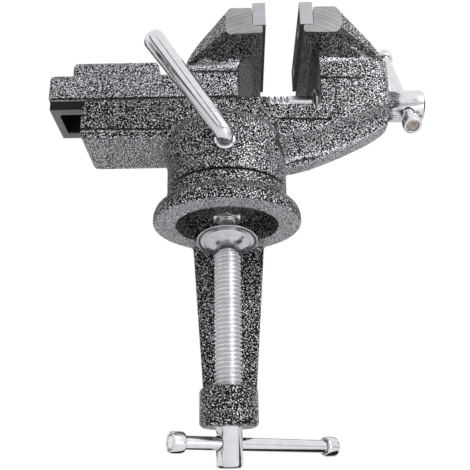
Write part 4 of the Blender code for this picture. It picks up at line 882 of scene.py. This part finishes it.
def spindle_bar_place():
    turn = Matrix.Rotation(math.pi / 2 + SPINDLE_BAR_DROP, 4, "X")
    return Matrix.Translation((SPINDLE_HOLE_X, 0.0, SPINDLE_HEIGHT)) @ turn


def clamp_bar_place():
    turn = Matrix.Rotation(math.pi + CLAMP_BAR_YAW, 4, "Z") @ Matrix.Rotation(math.pi / 2, 4, "Y")
    return Matrix.Translation((0.0, 0.0, CLAMP_BAR_HEIGHT)) @ turn


def make_bar(name, node, place, reach, body, end_finish):
    """Sliding bar, and a barrel knob upset on each of its ends."""
    high = reach + KNOB_LENGTH / 2
    low = high - KNOB_SPACING - KNOB_LENGTH
    ease = KNOB_EASE
    profile = [(0.0, high - ease), (BAR_RADIUS - ease, high - ease), (BAR_RADIUS, high - ease - ease),
               (BAR_RADIUS, low + ease + ease), (BAR_RADIUS - ease, low + ease), (0.0, low + ease)]
    mesh = turned(name, profile, place, 48)
    mesh.materials.append(CHROME)
    mesh.materials.append(end_finish)
    axis = (place.to_3x3() @ Vector((0.0, 0.0, 1.0))).normalized()
    for face in mesh.polygons:
        if abs(face.normal.dot(axis)) > 0.9:
            face.material_index = 1
    piece = add_piece(name, mesh, body)
    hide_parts(node)
    half = KNOB_LENGTH / 2
    bore = BAR_RADIUS + ease
    barrel = [math.radians(5 + 170 * i / 24) for i in range(25)]
    for word, centre in (("near", reach), ("far", reach - KNOB_SPACING)):
        outline = [(bore, centre + half - ease), (bore + ease, centre + half)]
        outline += [(KNOB_FACE + (KNOB_RADIUS - KNOB_FACE) * math.sqrt(math.sin(angle)),
                     centre + half * math.cos(angle)) for angle in barrel]
        outline += [(bore + ease, centre - half), (bore, centre - half + ease)]
        knob_mesh = turned(f"{name}_knob_{word}", outline, place, 64, closed=True)
        knob = add_piece(f"{name}_knob_{word}", knob_mesh, body, CHROME)
        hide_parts(f"{node}_knob_{word}")


def lever_path():
    """Centre line of the lock lever with the radius at each point."""
    out = Vector((0.0, -1.0, 0.0))
    start = out * LEVER_START + Vector((0.0, 0.0, LEVER_HEIGHT))
    aim = Vector((LEVER_LENGTH * math.cos(LEVER_ANGLE), -LEVER_LEAN, LEVER_LENGTH * math.sin(LEVER_ANGLE)))
    aim.normalize()
    side = (aim - out * aim.dot(out)).normalized()
    bend = out.angle(aim)
    points = [(start, LEVER_ROOT_RADIUS)]
    start = start + out * LEVER_STUB
    for i in range(17):
        angle = bend * i / 16
        swing = out * (LEVER_BEND * math.sin(angle)) + side * (LEVER_BEND * (1 - math.cos(angle)))
        points.append((start + swing, LEVER_ROOT_RADIUS))
    elbow = points[-1][0]
    handle = LEVER_LENGTH - LEVER_DOME
    for i in range(1, 25):
        share = i / 24
        points.append((elbow + aim * (handle * share),
                       LEVER_ROOT_RADIUS + (LEVER_END_RADIUS - LEVER_ROOT_RADIUS) * share))
    for i in range(1, 13):
        angle = math.radians(88 * i / 12)
        points.append((elbow + aim * (handle + LEVER_DOME * math.sin(angle)),
                       LEVER_END_RADIUS * math.cos(angle)))
    return points


def make_lever():
    """Lock lever, one bent bar swelling to a domed end."""
    curve = bpy.data.curves.new("lever", "CURVE")
    curve.dimensions = "3D"
    curve.bevel_depth = LEVER_END_RADIUS
    curve.bevel_resolution = 14
    curve.use_fill_caps = True
    points = lever_path()
    spline = curve.splines.new("POLY")
    spline.points.add(len(points) - 1)
    for point, (place, radius) in zip(spline.points, points):
        point.co = (*place, 1.0)
        point.radius = radius / LEVER_END_RADIUS
    mesh = evaluated_mesh(curve, "lever_path")
    shape = bmesh.new()
    shape.from_mesh(mesh)
    bmesh.ops.remove_doubles(shape, verts=shape.verts, dist=WELD)
    bmesh.ops.recalc_face_normals(shape, faces=shape.faces)
    shape.to_mesh(mesh)
    shape.free()
    shade_smooth(mesh, math.radians(50))
    piece = add_piece("lever_handle", mesh, "lever", CHROME)
    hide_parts("lock_lever")


def soft_casting(name, node, body, voxel, planes, finish_of, paint):
    """A casting with its edges eased as sand casting leaves them, and its machined planes cut crisp again.

    planes are (point, outward normal) of machined faces. finish_of gives the number of a face's finish,
    from its centre and normal."""
    mesh = node_copy(node, name)
    for point, direction in planes:
        point, direction = Vector(point), Vector(direction)
        for vertex in mesh.vertices:
            if (vertex.co - point).dot(direction) > -WELD:
                vertex.co += direction * MACHINING_STOCK

    def ease(helper):
        skin = helper.modifiers.new("skin", "REMESH")
        skin.mode = "VOXEL"
        skin.voxel_size = voxel
        smooth = helper.modifiers.new("ease", "SMOOTH")
        smooth.factor = 0.5
        smooth.iterations = 4
    eased = evaluated_mesh(mesh, name, ease)
    for point, direction in planes:
        half_kept(eased, point, [-c for c in direction])
    for face in eased.polygons:
        face.material_index = finish_of(face.center, face.normal)
    shade_smooth(eased, math.radians(40))
    piece = add_piece(name, eased, body, paint, MILLED, RAIL_AND_HOLLOW_SHADE, SLIDE_FOOT, SHADED_PAINT, UNDER_SHADE_PAINT,
                      LIT_UNDERSIDE_PAINT, LIT_LEDGE_PAINT)
    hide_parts(node)
    return piece


# A casting's finishes, numbered as soft_casting gives them
PAINTED, END_FACE, RAIL_AND_HOLLOW_SHADE_FACE, FOOT_FACE, SHADED, UNDER_SHADE, LIT_UNDERSIDE, LIT_LEDGE = range(8)


def wing_finish(centre, normal):
    """Milled on the ends of a jaw's wings, and darker below them, as painted shade."""
    if abs(normal.y) > 0.95 and abs(centre.y) > JAW_HALF - FLATNESS and centre.z > WING_BOTTOM:
        return END_FACE
    # Painted shade under the wings
    if centre.z > WING_UNDER and normal.z < -0.15:
        return UNDER_SHADE
    return PAINTED


def fixed_finish(centre, normal):
    """The fixed casting's: painted shade on its jaw post's inner face, and paler paint as painted light on
    the keel and on the ledges that face down.
    """
    # Painted shade on the post's inner face
    if centre.x < POST_LEFT + SKIN and centre.z > RIM_TOP and normal.x < -0.6:
        return UNDER_SHADE
    below_rim = centre.z < RIM_TOP and centre.x > KEEL_LEFT
    # Painted light on the keel's underside
    if below_rim and centre.z < KEEL_TOP and abs(centre.y) < KEEL_HALF and normal.z < -0.3:
        return LIT_UNDERSIDE
    # Painted light on down-facing ledges below the rim
    if below_rim and normal.z < -0.6:
        return LIT_LEDGE
    # Painted light on the trough's underside
    if centre.x < TROUGH_RIGHT and normal.z < -0.7:
        return LIT_LEDGE
    return wing_finish(centre, normal)


def moving_finish(centre, normal):
    """The moving casting's: painted shade on its jaw post's inner face and in the slide's hollow, and the
    bare rails and foot of the slide.
    """
    # Painted shade on the post's inner face
    if centre.x > MOVING_POST_RIGHT - SKIN and centre.z > RIM_TOP and normal.x > 0.6:
        return UNDER_SHADE
    wall = centre.z < HOLLOW_CEILING and abs(normal.z) < 0.99
    ceiling = SLIDE_BOTTOM < centre.z < HOLLOW_CEILING + WELD
    # Painted shade: the slide's hollow takes the near-black rail finish above its foot
    if abs(centre.y) < HOLLOW_HALF and (wall or ceiling):
        return RAIL_AND_HOLLOW_SHADE_FACE if centre.z > HOLLOW_FOOT else FOOT_FACE
    if centre.z < SLIDE_BOTTOM and abs(centre.y) < FOOT_HALF:
        return FOOT_FACE if normal.z < -0.7 else RAIL_AND_HOLLOW_SHADE_FACE
    return wing_finish(centre, normal)


def base_finish(centre, normal):
    """The base's: darker paint as painted shade up in its recess, and paler paint as painted light on the
    ring's underside.
    """
    if math.hypot(centre.x, centre.y) < RECESS_RADIUS and RECESS_LIP < centre.z < RECESS_TOP:
        return SHADED
    # Painted light on the ring's underside
    return LIT_UNDERSIDE if abs(centre.z) < SKIN and normal.z < -0.85 else PAINTED


def make_castings():
    sides = [((0.0, side * JAW_HALF, 0.0), (0.0, side, 0.0)) for side in (-1, 1)]
    soft_casting("vise_casting", "vise_body", "vise", CASTING_VOXEL, sides, fixed_finish, BODY_PAINT)
    soft_casting("jaw_casting", "moving_jaw", "jaw", JAW_VOXEL, sides, moving_finish, JAW_PAINT)
    soft_casting("base_casting", "clamp_base", "base", CASTING_VOXEL, [], base_finish, PAINT)


def dress_nodes():
    """Finishes of the solids that are shown as they are."""
    finishes = {"spindle_nut": NUT_IRON, "spindle_thrust_washer": ZINC, "spindle_retaining_ring": BLACK,
                "lock_stud": CHROME, "clamp_pad_washer": ZINC, "swivel_bolt": NUT_STEEL,
                "swivel_washer": ZINC, "swivel_spring_washer": ZINC}
    for side in ("near", "far"):
        for jaw in ("fixed", "moving"):
            finishes[f"{jaw}_plate_screw_{side}"] = BLACK
    for node, finish in finishes.items():
        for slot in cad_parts[node].material_slots:
            slot.material = finish


# Studio

def shown_ray(wires):
    """One for the rays that see the background: the camera's, and those off metal or through glass."""
    seen = wires.add("ShaderNodeLightPath").outputs
    return wires.math("MAXIMUM", seen["Is Camera Ray"],
                      wires.math("MAXIMUM", seen["Is Glossy Ray"], seen["Is Transmission Ray"]))


def arc(reach, first, last, steps=12):
    """Points round the vise, from one bearing to another, clockwise from the camera's side."""
    bearings = [math.radians(first + (last - first) * i / steps) for i in range(steps + 1)]
    return [(-reach * math.sin(bearing), -reach * math.cos(bearing)) for bearing in bearings]


def upright(outline, low, top):
    """The two rows of a strip that stands on an outline."""
    return [(x, y, low) for x, y in outline], [(x, y, top) for x, y in outline]


def dark_card(name, first, second):
    """A dark strip between two rows of points, seen by reflections only: the dark edges of a light tent."""
    mesh = bpy.data.meshes.new(name)
    count = len(first)
    mesh.from_pydata(first + second, [], [(i, i + 1, i + 1 + count, i + count) for i in range(count - 1)])
    card = placed(name, mesh)
    material, wires, shader = start_material(name + "_felt", Roughness=0.95, Specular_IOR_Level=0.1)
    felt = wires.blend(wires.noise(wires.coordinates(), 300.0, 3.0), grey(0.02), grey(0.05))
    wires.join(felt, shader.inputs["Base Color"])
    mesh.materials.append(material)
    card.visible_camera = False
    card.visible_diffuse = False
    card.visible_shadow = False


def make_cards():
    """Strips round the vise, whose reflections draw dark lines along the bars, screws and lever."""
    front = [(STAND_LEFT, STAND_PLACE), (STAND_RIGHT, STAND_PLACE)]
    dark_card("skirting", *upright(arc(CARD_REACH, 0, 360, 48), FLOOR_HEIGHT, SKIRT_TOP))
    dark_card("camera_side", *upright(front, CARD_LOW, CARD_TOP))
    dark_card("left_side", *upright(arc(NEAR_REACH, 36, 46), NEAR_LOW, NEAR_TOP))
    for word, side in (("left", 1), ("right", -1)):
        dark_card(f"{word}_edge", *upright(arc(CARD_REACH, side * 98, side * 128), CARD_LOW, CARD_TOP))
    dark_card("back_top", *upright(arc(CARD_REACH, 140, 220), BACK_LOW, BACK_TOP))
    mat_height = FLOOR_HEIGHT + MAT_LIFT
    mat = [[(x, y, mat_height) for x in (MAT_LEFT, MAT_RIGHT)] for y in (MAT_FRONT, MAT_BACK)]
    dark_card("mat", *mat)


def make_studio():
    """Pale floor under the vise, even white surroundings and three soft lamps."""
    mesh = bpy.data.meshes.new("floor")
    quarters = ((-1, -1), (1, -1), (1, 1), (-1, 1))
    corners = [(x * FLOOR_HALF, y * FLOOR_HALF, FLOOR_HEIGHT) for x, y in quarters]
    mesh.from_pydata(corners, [], [(0, 1, 2, 3)])
    floor = placed("floor", mesh)
    material, wires, shader = start_material("pale_floor", Roughness=0.7)
    colour = wires.blend(wires.noise(wires.coordinates(), 6.0, 3.0), grey(0.80), grey(0.86))
    wires.join(colour, shader.inputs["Base Color"])
    shader.inputs["Emission Color"].default_value = grey(1.0)
    glow = wires.math("MULTIPLY_ADD", shown_ray(wires), 0.09, 0.56)
    wires.join(glow, shader.inputs["Emission Strength"])
    mesh.materials.append(material)

    world = bpy.data.worlds.new("studio")
    world.use_nodes = True
    bpy.context.scene.world = world
    wires = Wiring(world.node_tree)
    background = world.node_tree.nodes["Background"]
    background.inputs["Color"].default_value = grey(1.0)
    bright = wires.math("MULTIPLY_ADD", shown_ray(wires), 0.92, 0.08)
    wires.join(bright, background.inputs["Strength"])

    for name, place, size, power in (("key_lamp", (0.27, -0.32, 0.22), 0.2, 0.95),
                                     ("fill_lamp", (-0.75, -0.65, 0.35), 0.7, 0.2),
                                     ("low_lamp", (0.30, -0.35, -0.16), 0.3, 0.4)):
        lamp = bpy.data.lights.new(name, "AREA")
        lamp.shape = "DISK"
        lamp.size = size
        lamp.energy = power
        holder = placed(name, lamp)
        holder.location = place
        aim = Vector((0.0, 0.0, 0.03)) - Vector(place)
        holder.rotation_euler = aim.to_track_quat("-Z", "Y").to_euler()


def make_camera():
    data = bpy.data.cameras.new("camera")
    data.sensor_width = SENSOR
    data.lens = CAMERA_LENS
    data.clip_start = 0.01
    data.clip_end = 20.0
    camera = placed("camera", data)
    turn = (Matrix.Rotation(CAMERA_YAW, 4, "Z") @ Matrix.Rotation(CAMERA_PITCH, 4, "X")
            @ Matrix.Rotation(CAMERA_ROLL, 4, "Y") @ Matrix.Rotation(math.pi / 2, 4, "X"))
    camera.matrix_world = Matrix.Translation(CAMERA_PLACE) @ turn
    bpy.context.scene.camera = camera


make_camera()
make_studio()
make_cards()
make_castings()
make_spindle()
make_clamp_screw()
make_pad()
make_nut()
make_plates()
make_bar("spindle_slide_bar", "spindle_bar", spindle_bar_place(), SPINDLE_BAR_REACH, "spindle_handle",
         BAR_END)
make_bar("clamp_slide_bar", "clamp_bar", clamp_bar_place(), CLAMP_BAR_REACH, "clamp_handle", CHROME)
make_lever()
dress_nodes()

bpy.context.scene.view_settings.view_transform = "Standard"
